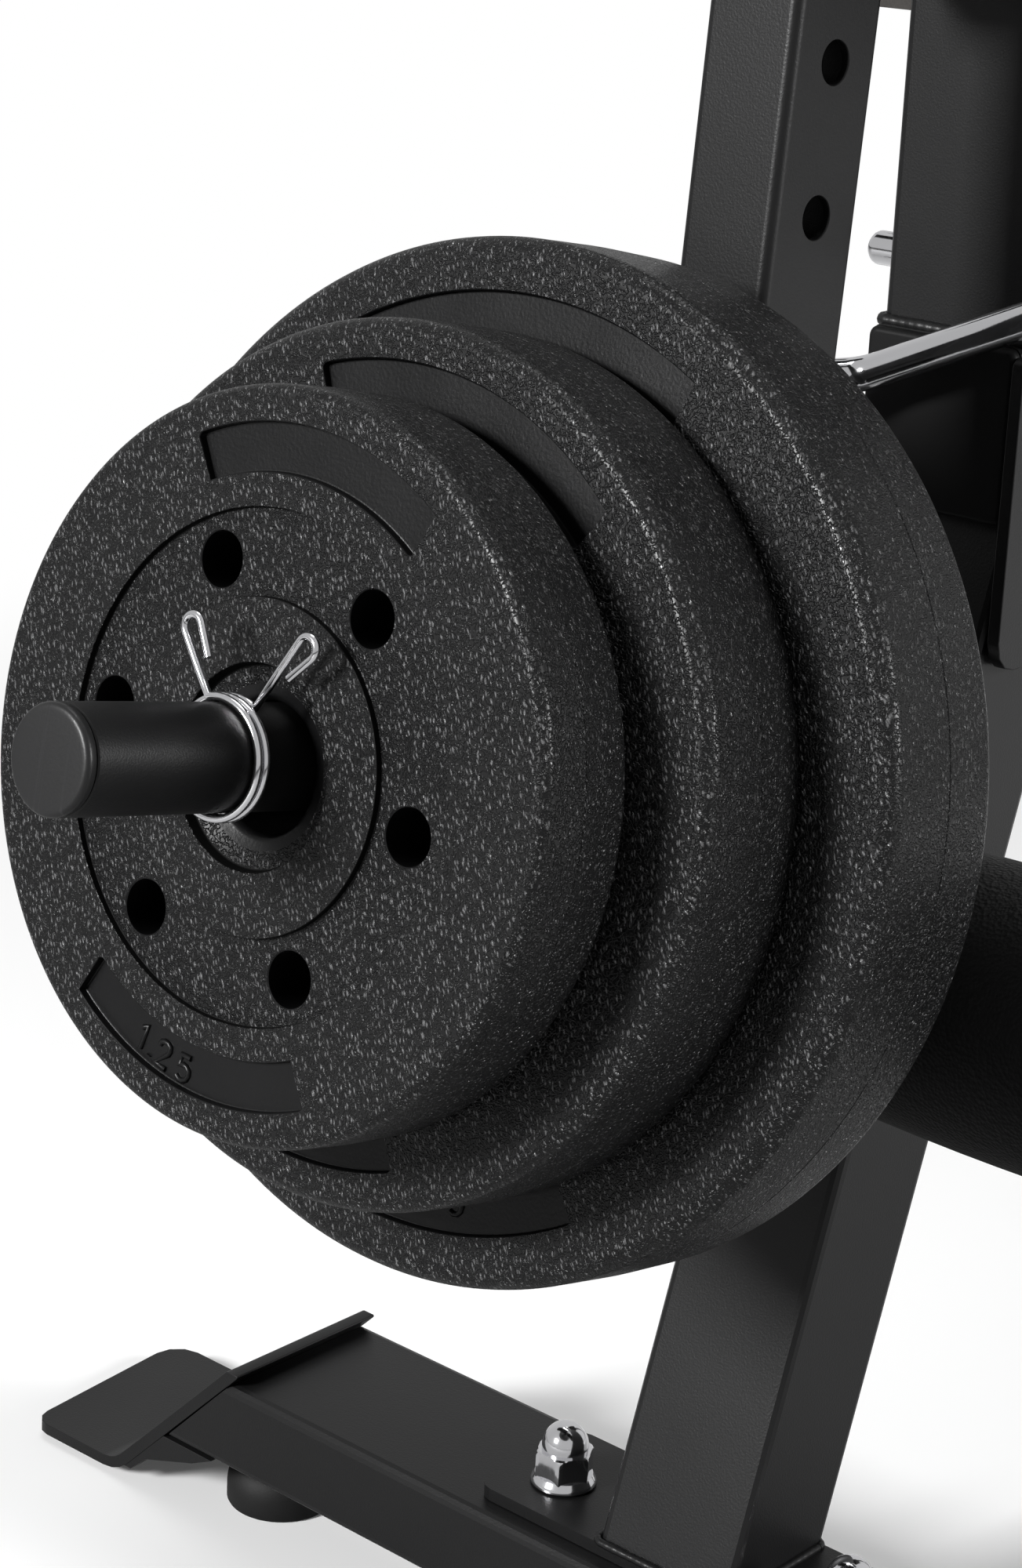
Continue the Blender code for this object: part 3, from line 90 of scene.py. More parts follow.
# Post, beam and lock pin
POST = Vector((0.0, -0.343, 0.0))
BEAM_SIZE = 0.050
BEAM_TOP = 0.411
BEAM_FRONT = -0.372
BEAM_REAR = 0.605
TUBE_WALL = 0.002
TUBE_CORNER = 0.003
LEG_WIDTH = 0.048
LEG_HALF_DEPTH = 0.0235
LOCK_PIN_RADIUS = 0.005
LOCK_PIN_Z = 0.427
LOCK_PIN_TIP_X = -0.048
LOCK_PIN_SIDE_X = 0.060
LOCK_PIN_BEND = 0.012
LOCK_PIN_RISE = 0.0062
LOCK_PIN_FRONT_REACH = 0.045
LOCK_PIN_FOLD_X = -0.016
LOCK_PIN_FOLD_Z = 0.3992
LOCK_PIN_TAIL = 0.024
UPPER_AXLE_Z = 0.582
INNER_POST_SIZE = 0.0452
INNER_POST_TOP = 0.610

# Backrest
HINGE = Vector((0.0, 0.037, 0.482))
BACK_ANGLE = math.radians(45.0)
BACK_TUBE_END = 0.580
BACK_TUBE_WIDTH = 0.040
BACK_TUBE_DEPTH = 0.025
BACK_PAD_START = 0.015
BACK_PAD_LIFT = 0.0251
BACK_PAD_LENGTH = 0.700
BACK_PAD_LOW_HALF = 0.125
BACK_PAD_HIGH_HALF = 0.110

MM = 0.001
QUARTER = math.radians(90.0)
WHITE = (1.0, 1.0, 1.0, 1.0)

# Studio
FLOOR_LIFT = 0.06
ROOM_FRONT = 0.50
ROOM_BACK = 0.60
ROOM_SHARE = 0.35
FLOOR_FRONT = 0.36
FLOOR_BACK = 0.90
LAMP_AIM = (0.0, -0.5, 0.35)
LAMPS = (
    ("key_left", (-0.75, -3.0, 1.4), 0.6, 135.0),
    ("key_right", (2.6, 0.5, 1.2), 0.7, 76.0),
    ("key_top", (-0.5, -0.2, 2.9), 1.0, 14.0),
)
# Black finishes mirror this much, on the shader's scale where one half is plain plastic.
DULL = 0.25


def mesh_object(name, mesh_data, materials, matrix=None, smooth=40.0):
    """Make an object of a bmesh, shaded smooth where its faces meet at less than this angle."""
    bmesh.ops.recalc_face_normals(mesh_data, faces=mesh_data.faces)
    mesh = bpy.data.meshes.new(name)
    mesh_data.to_mesh(mesh)
    mesh_data.free()
    mesh.shade_smooth()
    mesh.set_sharp_from_angle(angle=math.radians(smooth))
    for item in materials:
        mesh.materials.append(item)
    made = bpy.data.objects.new(name, mesh)
    bpy.context.scene.collection.objects.link(made)
    if matrix is not None:
        made.matrix_world = matrix
    return made


def skin(rings, wrap, marks=None, data=None):
    """Faces between rings of points, added to data if it is given; marks is the finish of each band."""
    if data is None:
        data = bmesh.new()
    loops = [[data.verts.new(point) for point in ring] for ring in rings]
    pairs = list(zip(loops, loops[1:]))
    if wrap:
        pairs.append((loops[-1], loops[0]))
    else:
        data.faces.new(list(reversed(loops[0])))
        data.faces.new(loops[-1])
    for band, (low, high) in enumerate(pairs):
        count = len(low)
        for index in range(count):
            after = (index + 1) % count
            face = data.faces.new((low[index], low[after], high[after], high[index]))
            if marks:
                face.material_index = marks[band % len(marks)]
    return data


def turned(profile, steps, wrap=False, marks=None, shape=None, data=None):
    """Turn (radius, height) points in millimetres about Z; shape limits the radius by angle."""
    turns = [2 * math.pi * step / steps for step in range(steps)]
    rings = []
    for radius, height in profile:
        sizes = [(min(radius, shape(angle)) if shape else radius) * MM for angle in turns]
        rings.append([(size * math.cos(angle), size * math.sin(angle), height * MM)
                      for size, angle in zip(sizes, turns)])
    return skin(rings, wrap, marks, data)


def arc(radius, height, wide, tall, steps, last=90.0):
    """Profile points of an ellipse from its side up towards its top, the first one left out."""
    turns = [math.radians(last * step / steps) for step in range(1, steps + 1)]
    return [(radius + wide * math.cos(angle), height + tall * math.sin(angle)) for angle in turns]


def fillet(corners, steps=5, closed=False):
    """Round the corners of a path of (x, y, radius) and return its points."""
    points = []
    count = len(corners)
    for index, (x, y, radius) in enumerate(corners):
        here = Vector((x, y))
        if radius == 0.0 or (not closed and index in (0, count - 1)):
            points.append((x, y))
            continue
        before = Vector(corners[index - 1][:2]) - here
        after = Vector(corners[(index + 1) % count][:2]) - here
        half = before.angle(after) / 2
        reach = min(radius / math.tan(half), before.length * 0.49, after.length * 0.49)
        size = reach * math.tan(half)
        start = here + before.normalized() * reach
        end = here + after.normalized() * reach
        centre = here + (before.normalized() + after.normalized()).normalized() * size / math.sin(half)
        sweep = (start - centre).angle_signed(end - centre)
        for step in range(steps + 1):
            turn = Matrix.Rotation(-sweep * step / steps, 2)
            points.append(tuple(centre + turn @ (start - centre)))
    return points


def tube(name, points, radius, finish, sides=4, closed=False, smooth=True):
    """Round wire along points; a smooth wire bends between them."""
    curve = bpy.data.curves.new(name, "CURVE")
    curve.dimensions = "3D"
    curve.bevel_depth = radius
    curve.bevel_resolution = sides
    curve.use_fill_caps = True
    line = curve.splines.new("POLY")
    line.points.add(len(points) - 1)
    for spot, point in zip(line.points, points):
        spot.co = (*point, 1.0)
    line.use_cyclic_u = closed
    line.use_smooth = smooth
    curve.materials.append(finish)
    made = bpy.data.objects.new(name, curve)
    bpy.context.scene.collection.objects.link(made)
    return made


def bent(corners, radius, steps=8):
    """Points of a 3-D path whose corners are bent round a radius."""
    points = [Vector(corners[0])]
    for before, here, after in zip(corners, corners[1:], corners[2:]):
        spot = Vector(here)
        back = (Vector(before) - spot).normalized()
        ahead = (Vector(after) - spot).normalized()
        half = back.angle(ahead) / 2
        centre = spot + (back + ahead).normalized() * radius / math.sin(half)
        start = spot + back * radius / math.tan(half) - centre
        end = spot + ahead * radius / math.tan(half) - centre
        sweep = start.rotation_difference(end)
        for step in range(steps + 1):
            points.append(centre + Quaternion().slerp(sweep, step / steps) @ start)
    points.append(Vector(corners[-1]))
    return points


class Nodes:
    """Short way to write a node tree."""

    def __init__(self, tree):
        self.tree = tree

    def fill(self, node, sockets):
        """Link the outputs and set the plain values that a node's sockets are given."""
        for name, value in sockets.items():
            if isinstance(value, bpy.types.NodeSocket):
                self.tree.links.new(value, node.inputs[name])
            elif value is not None:
                node.inputs[name].default_value = value

    def add(self, kind, output, sockets=None, **settings):
        """Add a node and return one of its outputs."""
        node = self.tree.nodes.new("ShaderNode" + kind)
        for name, value in settings.items():
            setattr(node, name, value)
        self.fill(node, sockets or {})
        return node.outputs[output]

    def axis(self, name, place):
        """One coordinate of a place."""
        return self.add("SeparateXYZ", name, {"Vector": place})

    def math(self, operation, *values):
        """One arithmetic step."""
        return self.add("Math", "Value", dict(enumerate(values)), operation=operation)

    def smooth(self, value, low, high, start, end):
        """Smooth step from one range to another."""
        sockets = {"Value": value, "From Min": low, "From Max": high, "To Min": start, "To Max": end}
        return self.add("MapRange", "Result", sockets, interpolation_type="SMOOTHSTEP")

    def either(self, share, first, second):
        """Mix of two shaders."""
        return self.add("MixShader", "Shader", {0: share, 1: first, 2: second})


class Finish(Nodes):
    """Material of one colour, with short ways to give it detail."""

    def __init__(self, name, colour, roughness, specular=0.5, metallic=0.0):
        self.material = bpy.data.materials.new(name)
        self.material.use_nodes = True
        super().__init__(self.material.node_tree)
        self.shader = self.tree.nodes["Principled BSDF"]
        self.fill(self.shader, {"Base Color": (*colour, 1.0), "Roughness": roughness,
                                "Specular IOR Level": specular, "Metallic": metallic})
        self.place = self.add("TexCoord", "Object")

    def noise(self, scale, detail=3.0, rough=0.5, place=None, distortion=0.0, output="Fac"):
        """Noise of this many cycles per metre."""
        return self.add("TexNoise", output, {"Scale": scale, "Detail": detail, "Roughness": rough,
                                             "Distortion": distortion, "Vector": place or self.place})

    def cells(self, scale, feature="F1", place=None, spread=1.0, soft=None):
        """Distance within cells, this many cells per metre."""
        sockets = {"Scale": scale, "Randomness": spread, "Smoothness": soft, "Vector": place or self.place}
        return self.add("TexVoronoi", "Distance", sockets, feature=feature)

    def ramp(self, value, stops):
        """Colour ramp: stops are (position, grey)."""
        node = self.tree.nodes.new("ShaderNodeValToRGB")
        ramp = node.color_ramp
        while len(ramp.elements) < len(stops):
            ramp.elements.new(0.5)
        for element, (position, grey) in zip(ramp.elements, stops):
            element.position = position
            element.color = (grey, grey, grey, 1.0)
        self.fill(node, {"Fac": value})
        return node.outputs["Color"]

    def mix(self, share, low, high):
        """Blend of two colours."""
        low, high = ((*value, 1.0) if isinstance(value, tuple) else value for value in (low, high))
        return self.add("Mix", "Result", {"Factor": share, "A": low, "B": high}, data_type="RGBA")

    def span(self, value, low, high):
        """Scale a 0 to 1 value to a range."""
        return self.math("MULTIPLY_ADD", value, high - low, low)

    def stretch(self, scale, place=None, turn=(0.0, 0.0, 0.0)):
        """Coordinates scaled by axis."""
        return self.add("Mapping", "Vector", {"Vector": place or self.place, "Rotation": turn,
                                              "Scale": scale})

    def bump(self, height, depth, normal=None):
        """Raise the surface by height times depth."""
        return self.add("Bump", "Normal", {"Strength": 1.0, "Distance": depth, "Height": height,
                                           "Normal": normal})

    def done(self, normal=None, colour=None, roughness=None):
        """Link what the shader takes and return the material."""
        self.fill(self.shader, {"Normal": normal, "Base Color": colour, "Roughness": roughness})
        return self.material


def powder_coat():
    """Satin black coating with a fine orange peel."""
    make = Finish("powder_coat", (0.006, 0.006, 0.0062), 0.36, DULL)
    peel = make.noise(1500.0, 2.0)
    cloud = make.noise(18.0, 4.0)
    colour = make.mix(cloud, (0.0055, 0.0055, 0.0057), (0.0072, 0.0072, 0.0074))
    rough = make.span(cloud, 0.33, 0.40)
    return make.done(make.bump(peel, 0.05 * MM), colour, rough)


def plate_grain():
    """Moulded plastic with a raised grain: short slanting dashes over fine worms, the dash tops coloured
    lighter as a painted glint.
    """
    make = Finish("plate_grain", (0.016, 0.016, 0.0165), 0.36)
    warp = make.noise(330.0, 1.0, output="Color")
    shift = make.add("VectorMath", "Vector", {0: warp, 1: (1.3 * MM,) * 3, 2: make.place},
                     operation="MULTIPLY_ADD")
    slant = make.stretch((1.0, 1.0, 1.0), shift, turn=(0.0, 0.0, math.radians(62.0)))
    long = make.stretch((0.52, 1.30, 0.90), slant)
    dash = make.ramp(make.cells(760.0, "F1", long, 0.9), ((0.15, 1.0), (0.34, 0.0)))
    worm = make.ramp(make.noise(1000.0, 1.0, place=shift), ((0.40, 0.0), (0.50, 1.0), (0.60, 0.0)))
    relief = make.math("MULTIPLY_ADD", worm, 0.6, dash)
    # Painted glint: the dash tops are coloured light grey, fully on the faces and less towards the rim, in
    # place of the glints of light on them.
    facing = make.math("ABSOLUTE", make.axis("Z", make.add("TexCoord", "Normal")))
    painted_glint = make.math("MULTIPLY", dash, make.span(facing, 0.30, 1.0))
    cloud = make.noise(22.0, 4.0)
    ground = make.mix(cloud, (0.0045, 0.0045, 0.0047), (0.0062, 0.0062, 0.0064))
    colour = make.mix(painted_glint, ground, (0.105, 0.105, 0.107))
    make.fill(make.shader, {"Specular IOR Level": make.span(dash, 0.8 * DULL, 2 * DULL)})
    rough = make.span(dash, 0.32, 0.26)
    return make.done(make.bump(relief, 0.30 * MM), colour, rough)


def plate_wall():
    """The smooth walls of the plate's steps, coloured near black and set to mirror next to nothing as painted
    shade in the steps.
    """
    make = Finish("plate_wall", (0.002, 0.002, 0.002), 0.55, 0.08)
    return make.done(make.bump(make.noise(1500.0, 2.0), 0.02 * MM))


def plate_smooth():
    """The same plastic where the mould was polished, coloured darker than the grained face as painted shade
    for the dim pocket floors and the bore's lip in the sleeve's shadow.
    """
    make = Finish("plate_smooth", (0.0035, 0.0035, 0.0037), 0.34, 0.7 * DULL)
    fine = make.noise(1100.0, 3.0)
    cloud = make.noise(60.0, 3.0)
    rough = make.span(cloud, 0.28, 0.38)
    return make.done(make.bump(fine, 0.06 * MM), None, rough)


def black_plastic():
    """Satin plastic caps, with a few fine scratches."""
    make = Finish("black_plastic", (0.010, 0.010, 0.0103), 0.38, DULL)
    fine = make.noise(1200.0, 3.0)
    streak = make.noise(900.0, 1.0, place=make.stretch((1.0, 0.02, 0.6), turn=(0.0, 0.0, 0.7)))
    scratch = make.ramp(streak, ((0.66, 0.0), (0.70, 1.0)))
    colour = make.mix(scratch, (0.010, 0.010, 0.0103), (0.018, 0.018, 0.0185))
    rough = make.span(scratch, 0.38, 0.28)
    return make.done(make.bump(fine, 0.03 * MM), colour, rough)


def dull_plastic():
    """Matt black plastic of the beam's caps, its colour darker than the other caps' as painted shade."""
    make = Finish("dull_plastic", (0.0045, 0.0045, 0.0046), 0.50, DULL / 2)
    return make.done(make.bump(make.noise(1200.0, 3.0), 0.03 * MM))


def sleeve_coat():
    """Smooth satin tube, slightly worn by the plates."""
    make = Finish("sleeve_coat", (0.006, 0.006, 0.0062), 0.36, DULL)
    peel = make.noise(2200.0, 2.0)
    rub = make.noise(30.0, 3.0, place=make.stretch((1.0, 1.0, 0.3)))
    rough = make.span(rub, 0.34, 0.46)
    return make.done(make.bump(peel, 0.05 * MM), None, rough)


def foam():
    """Dense closed-cell foam with a dull, slightly napped skin."""
    make = Finish("foam", (0.004, 0.004, 0.004), 0.95, DULL / 2)
    make.fill(make.shader, {"Sheen Weight": 0.06, "Sheen Roughness": 0.6})
    pores = make.cells(900.0)
    lumps = make.noise(260.0, 5.0, 0.65)
    colour = make.mix(lumps, (0.0025, 0.0025, 0.0025), (0.006, 0.006, 0.006))
    normal = make.bump(pores, 0.25 * MM, make.bump(lumps, 0.35 * MM))
    return make.done(normal, colour)


def rubber():
    """Matt moulded rubber."""
    make = Finish("rubber", (0.007, 0.007, 0.007), 0.62, DULL)
    fine = make.noise(1400.0, 4.0)
    rough = make.span(make.noise(80.0, 3.0), 0.55, 0.70)
    return make.done(make.bump(fine, 0.05 * MM), None, rough)


def chrome():
    """Bright plating with faint draw lines."""
    make = Finish("chrome", (0.78, 0.78, 0.80), 0.10, metallic=1.0)
    lines = make.noise(700.0, 3.0, place=make.stretch((1.0, 1.0, 0.2)))
    rough = make.span(lines, 0.06, 0.16)
    return make.done(make.bump(lines, 0.01 * MM), None, rough)


def vinyl():
    """Grained upholstery vinyl with fine creases."""
    make = Finish("vinyl", (0.010, 0.010, 0.0105), 0.44, DULL)
    grain = make.ramp(make.cells(620.0, "SMOOTH_F1", soft=0.25), ((0.05, 1.0), (0.55, 0.0)))
    crease = make.ramp(make.noise(70.0, 6.0, 0.6, distortion=0.6), ((0.46, 1.0), (0.5, 0.0), (0.54, 1.0)))
    cloud = make.noise(14.0, 4.0)
    colour = make.mix(cloud, (0.008, 0.008, 0.0085), (0.012, 0.012, 0.0125))
    rough = make.span(cloud, 0.38, 0.50)
    normal = make.bump(grain, 0.16 * MM, make.bump(crease, 0.05 * MM))
    return make.done(normal, colour, rough)


def board():
    """Board under a cushion: black stained wood with long grain."""
    make = Finish("board", (0.020, 0.018, 0.016), 0.75)
    grain = make.noise(60.0, 6.0, 0.6, place=make.stretch((6.0, 0.35, 6.0)))
    colour = make.mix(grain, (0.010, 0.009, 0.008), (0.034, 0.029, 0.024))
    return make.done(make.bump(grain, 0.25 * MM), colour)


def floor_white():
    """Pale floor that keeps the shadow near the bench and is plain white further off; what the
    object mirrors of it is dark in front and pale behind."""
    material = bpy.data.materials.new("floor_white")
    material.use_nodes = True
    make = Nodes(material.node_tree)
    make.tree.nodes.remove(make.tree.nodes["Principled BSDF"])
    place = make.add("NewGeometry", "Position")
    along = make.axis("Y", place)
    near = make.add("BsdfDiffuse", "BSDF", {"Color": (0.80, 0.80, 0.80, 1.0)})
    lift = make.add("Emission", "Emission", {"Color": WHITE, "Strength": FLOOR_LIFT})
    shaded = make.add("AddShader", "Shader", {0: near, 1: lift})
    plain = make.add("Emission", "Emission", {"Color": WHITE, "Strength": 1.0})
    across = make.math("ABSOLUTE", make.axis("X", place))
    away = make.math("MAXIMUM", across, make.math("MULTIPLY", make.math("ABSOLUTE", along), 0.7))
    seen = make.either(make.smooth(away, 0.55, 1.2, 0.0, 1.0), shaded, plain)
    pale = make.smooth(along, -0.7, 0.6, FLOOR_FRONT, FLOOR_BACK)
    grey = make.add("CombineColor", "Color", {"Red": pale, "Green": pale, "Blue": pale})
    mirrored = make.add("BsdfDiffuse", "BSDF", {"Color": grey})
    result = make.either(make.add("LightPath", "Is Camera Ray"), mirrored, seen)
    make.fill(make.tree.nodes["Material Output"], {"Surface": result})
    return material


FINISH = {
    "frame": powder_coat(),
    "sleeve": sleeve_coat(),
    "plate": plate_grain(),
    "plate_smooth": plate_smooth(),
    "plate_wall": plate_wall(),
    "plastic": black_plastic(),
    "dull_plastic": dull_plastic(),
    "rubber": rubber(),
    "foam": foam(),
    "vinyl": vinyl(),
    "board": board(),
    "chrome": chrome(),
}


def dress_nodes():
    """Give every carried-over solid the finish of its slot."""
    slots = {part["node"]: part["material_slot"] for part in frame["record"]["subparts"]}
    for name, item in nodes.items():
        item.data.materials.clear()
        item.data.materials.append(FINISH[slots[name]])


def lever_matrix():
    """Frame of the lever: origin on its pivot, local Z up along it."""
    return Matrix.Translation(PIVOT) @ Matrix.Rotation(-LEVER_TILT, 4, "X")


def sleeve_matrix():
    """Frame of the sleeve: local Z out along it, local Y up in the plane of the plates."""
    root = Matrix.Translation((0.0, 0.0, -SLEEVE_FROM_PIVOT))
    return lever_matrix() @ root @ Matrix.Rotation(QUARTER - SLEEVE_RISE, 4, "X")


def back_matrix():
    """Frame of the backrest: origin on its hinge, local Y up along its tube."""
    return Matrix.Translation(HINGE) @ Matrix.Rotation(BACK_ANGLE, 4, "X")


def add_camera():
    """Camera at the photograph's place and angle."""
    level = math.cos(CAMERA_PITCH)
    forward = Vector((-math.sin(CAMERA_YAW) * level, math.cos(CAMERA_YAW) * level, -math.sin(CAMERA_PITCH)))
    right = Vector((math.cos(CAMERA_YAW), math.sin(CAMERA_YAW), 0.0))
    down = forward.cross(right)
    across = right * math.cos(CAMERA_ROLL) + down * math.sin(CAMERA_ROLL)
    drop = down * math.cos(CAMERA_ROLL) - right * math.sin(CAMERA_ROLL)
    turn = Matrix((across, -drop, -forward)).transposed().to_4x4()
    lens = bpy.data.cameras.new("camera")
    lens.sensor_fit = "VERTICAL"
    lens.sensor_height = SENSOR_HEIGHT
    lens.lens = CAMERA_LENS
    lens.clip_end = 60.0
    item = bpy.data.objects.new("camera", lens)
    item.matrix_world = Matrix.Translation(CAMERA_PLACE) @ turn
    bpy.context.scene.collection.objects.link(item)
    bpy.context.scene.camera = item


def add_light(name, place, aim, size, power):
    """Square softbox aimed at a point."""
    lamp = bpy.data.lights.new(name, "AREA")
    lamp.shape = "SQUARE"
    lamp.size = size
    lamp.energy = power
    item = bpy.data.objects.new(name, lamp)
    item.location = place
    item.rotation_euler = (Vector(aim) - Vector(place)).to_track_quat("-Z", "Y").to_euler()
    bpy.context.scene.collection.objects.link(item)


def add_world():
    """White to the camera; what lights and mirrors in the object is dark in front and pale behind."""
    world = bpy.data.worlds.new("studio")
    world.use_nodes = True
    make = Nodes(world.node_tree)
    white = make.tree.nodes["Background"]
    make.fill(white, {"Color": WHITE, "Strength": 1.0})
    along = make.axis("Y", make.add("TexCoord", "Generated"))
    grade = make.smooth(along, -0.35, 0.75, ROOM_FRONT, ROOM_BACK)
    glossy = make.add("LightPath", "Is Glossy Ray")
    share = make.add("MapRange", "Result", {"Value": glossy, "To Min": ROOM_SHARE})
    room = make.add("Background", "Background",
                    {"Color": WHITE, "Strength": make.math("MULTIPLY", grade, share)})
    result = make.either(make.add("LightPath", "Is Camera Ray"), room, white.outputs["Background"])
    make.fill(make.tree.nodes["World Output"], {"Surface": result})
    bpy.context.scene.world = world


def add_studio():
    """Floor, world and soft lamps."""
    data = bmesh.new()
    bmesh.ops.create_grid(data, x_segments=1, y_segments=1, size=30.0)
    floor = mesh_object("floor", data, [floor_white()])
    add_world()
    for name, place, size, power in LAMPS:
        add_light(name, place, LAMP_AIM, size, power)
    bpy.context.scene.view_settings.view_transform = "Standard"


def apply_modifier(item, name):
    """Turn a modifier's result into the object's own mesh."""
    bpy.context.view_layer.objects.active = item
    with bpy.context.temp_override(object=item, active_object=item):
        bpy.ops.object.modifier_apply(modifier=name)


def even_shading(item, sharp=40.0):
    """Smooth shading that keeps flat faces flat."""
    item.data.shade_smooth()
    item.data.set_sharp_from_angle(angle=math.radians(sharp))
    level = item.modifiers.new("even_shading", "WEIGHTED_NORMAL")
    level.keep_sharp = True


def seat_piece(item, body, *replaced):
    """Let a piece ride on its body, in place of the solids that it stands for."""
    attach(item, body)
    if replaced:
        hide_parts(*replaced)


# Sizes of a moulded plate, in millimetres and degrees: below is how far its face lies under the small
# plate's face, spans are the angles of its upper and lower pocket, and its six holes lie on a circle.
Plate = namedtuple("Plate", "name radius thickness seam rounding below boss recess pocket spans"
                   " hole_circle hole_turn")
PLATES = (
    Plate("small", 87.2, 28.7, 13.3, 2.9, 0.0, 39.0, 59.0, (67.0, 78.2), ((56.3, 114.8), (-125.0, -65.3)),
          48.8, 115.4),
    Plate("middle", 105.3, 35.3, 18.8, 4.0, 33.0, 44.0, 72.0, (83.0, 95.0), ((48.5, 108.0), (-131.0, -69.5)),
          58.0, 108.0),
    Plate("large", 128.1, 42.9, 22.8, 4.8, 68.6, 50.0, 86.0, (101.0, 114.2), ((62.0, 122.0), (-118.0, -58.0)),
          68.0, 120.0),
)
PLATE_STEPS = 240
POCKET_DEPTH = 2.0
RECESS_DEPTH = 1.6
RIM_DRAFT = 0.03
SEAM_DEPTH = 0.3
HOLE_RADIUS = 6.5
FIRST_FINISH = 0
GRAIN = 0
SMOOTH = 1
WALL = 2
STEP_DRAFT = 0.15
STEP_ROUNDING = 0.2
SEAM_SLOPE = 0.02
PLATE_BORE = 15.3
# Dished mouth of a plate's bore: radius, height, rounding and finish of each corner.
BORE_MOUTH = ((PLATE_BORE, -4.8, 3.0, SMOOTH), (19.2, -4.0, 0.9, GRAIN), (23.5, -2.9, 0.6, WALL),
              (24.0, 0.0, 0.35, GRAIN))
# Layers of the pocket's cutter, from its rounded floor to its lip: height, and growth of the outline.
POCKET_LAYERS = ((-POCKET_DEPTH, -0.5), (-POCKET_DEPTH + 0.15, -0.15), (-POCKET_DEPTH + 0.5, 0.0),
                 (-0.45, 0.05), (-0.15, 0.15), (0.03, 0.42), (0.6, 1.0))
# Rounded mouths of round holes: how much wider than the hole, and how far out from the face.
HOLE_MOUTH = ((0.0, -0.5), (0.12, -0.2), (0.35, -0.04), (0.6, 0.6))
TUBE_HOLE_MOUTH = ((1.0, 0.5), (0.2, -0.1), (0.0, -0.5))

# Raised figures as strokes in a box two units wide and three high, drawn from their lower left.
FIGURES = {
    "1": [[(0.45, 2.45), (1.15, 3.0), (1.15, 0.0)]],
    "2": [[(0.05, 2.3), (0.2, 2.75), (0.7, 3.0), (1.3, 3.0), (1.8, 2.75), (1.9, 2.3), (1.75, 1.8),
           (0.0, 0.0), (2.0, 0.0)]],
    "5": [[(1.8, 3.0), (0.3, 3.0), (0.15, 1.7), (0.8, 1.9), (1.4, 1.8), (1.85, 1.45), (1.95, 0.95),
           (1.75, 0.4), (1.2, 0.0), (0.6, 0.0), (0.05, 0.35)]],
    ".": [[(0.9, 0.0), (0.9, 0.12)]],
}
# Of each plate: its figures, and the angle and radius of the middle of each.
FIGURE_PLACES = {
    "small": (("1", -107.3, 73.4), (".", -104.4, 73.4), ("2", -101.4, 73.7), ("5", -95.7, 73.9)),
    "middle": (("2", -112.0, 90.4), (".", -109.2, 90.4), ("5", -106.4, 90.4)),
    "large": (("5", -77.0, 106.6),),
}
FIGURE_UNIT = 2.0
FIGURE_STROKE = 0.75

# Clip and sleeve, in millimetres; a turned profile lists (radius, height), and an arc in one has the
# radius and height of its middle, its width and its rise.
CLIP_SLACK = 0.3
CLIP_LOOP_RADIUS = 2.7
# Of the left and the right finger loop: where the wire starts, the loop's middle and the wire's end.
CLIP_LOOPS = (((-4.0, 12.7), (-12.3, 27.4), (-6.0, 21.6)), ((7.0, 14.9), (18.6, 28.9), (14.6, 21.3)))
CLIP_RISE = 5.0
CLIP_TURNS = 2
SLEEVE_BORE = 10.5
SLEEVE_ROOT = 19.2
SLEEVE_EDGE = 0.35
SLEEVE_CAP_SIDE = ((10.2, -18.0), (10.2, 0.35), (12.15, 0.35), (12.45, 0.6), (12.5, 1.9))
SLEEVE_CAP_ARC = (11.1, 1.9, 1.4, 1.3)
SLEEVE_CAP_TOP = ((10.6, 3.25), (7.0, 3.35), (0.1, 3.4))

# Rollers, caps, nuts and feet, in millimetres
ROLLER_LENGTH = 176.0
ROLLER_BORE = 11.6
ROLLER_FACE = 27.0
ROLLER_RADIUS = 37.2
ROLLER_BARREL = 4.5
ROLLER_ROUNDING = 3.2
ROLLER_EDGE = 0.93
CAP_PLAY = 0.6
CAP_GAP = 0.3
CAP_CORNER = 2.8
CAP_EDGE = 1.7
NUT_FLAT = 9.3 * math.cos(math.radians(30.0))
NUT_FOOT = ((9.4, 0.0), (10.1, 0.4), (10.1, 1.2), (9.7, 1.9), (8.9, 3.2))
NUT_SIDES = ((9.4, 2.8), (9.4, 10.0), (8.8, 10.8), (8.2, 11.2))
NUT_NECK = ((7.2, 11.0), (7.2, 12.2))
NUT_DOME_ARC = (0.0, 12.2, 7.2, 7.7)
FOOT_RIM = ((6.2, 4.0), (6.2, 0.4), (6.8, 0.0), (16.8, 0.0), (17.6, 0.3), (18.0, 1.1), (18.0, 6.4))
FOOT_SHOULDER_ARC = (12.5, 6.4, 5.5, 8.1)
FOOT_TOP = (12.5, 24.7)

# Welds and cushions
POST_WELD_OUT = 0.0006
FLANGE_TOP = 0.0593
SWELL_FRAMES = 18
SWELL_REACH = 6 * MM
PAD_CORNER = 34 * MM

# Solids that get softer edges: name, finish and rounding in millimetres
SOFTENED = (
    ("front_foot_plate_", "frame", 0.6),
    ("side_gusset_", "frame", 0.5),
    ("pivot_bracket_", "frame", 0.5),
    ("backrest_bracket_", "frame", 0.5),
    ("rear_base_boot_", "rubber", 1.0),
)
SHARP_EDGE = 32.0


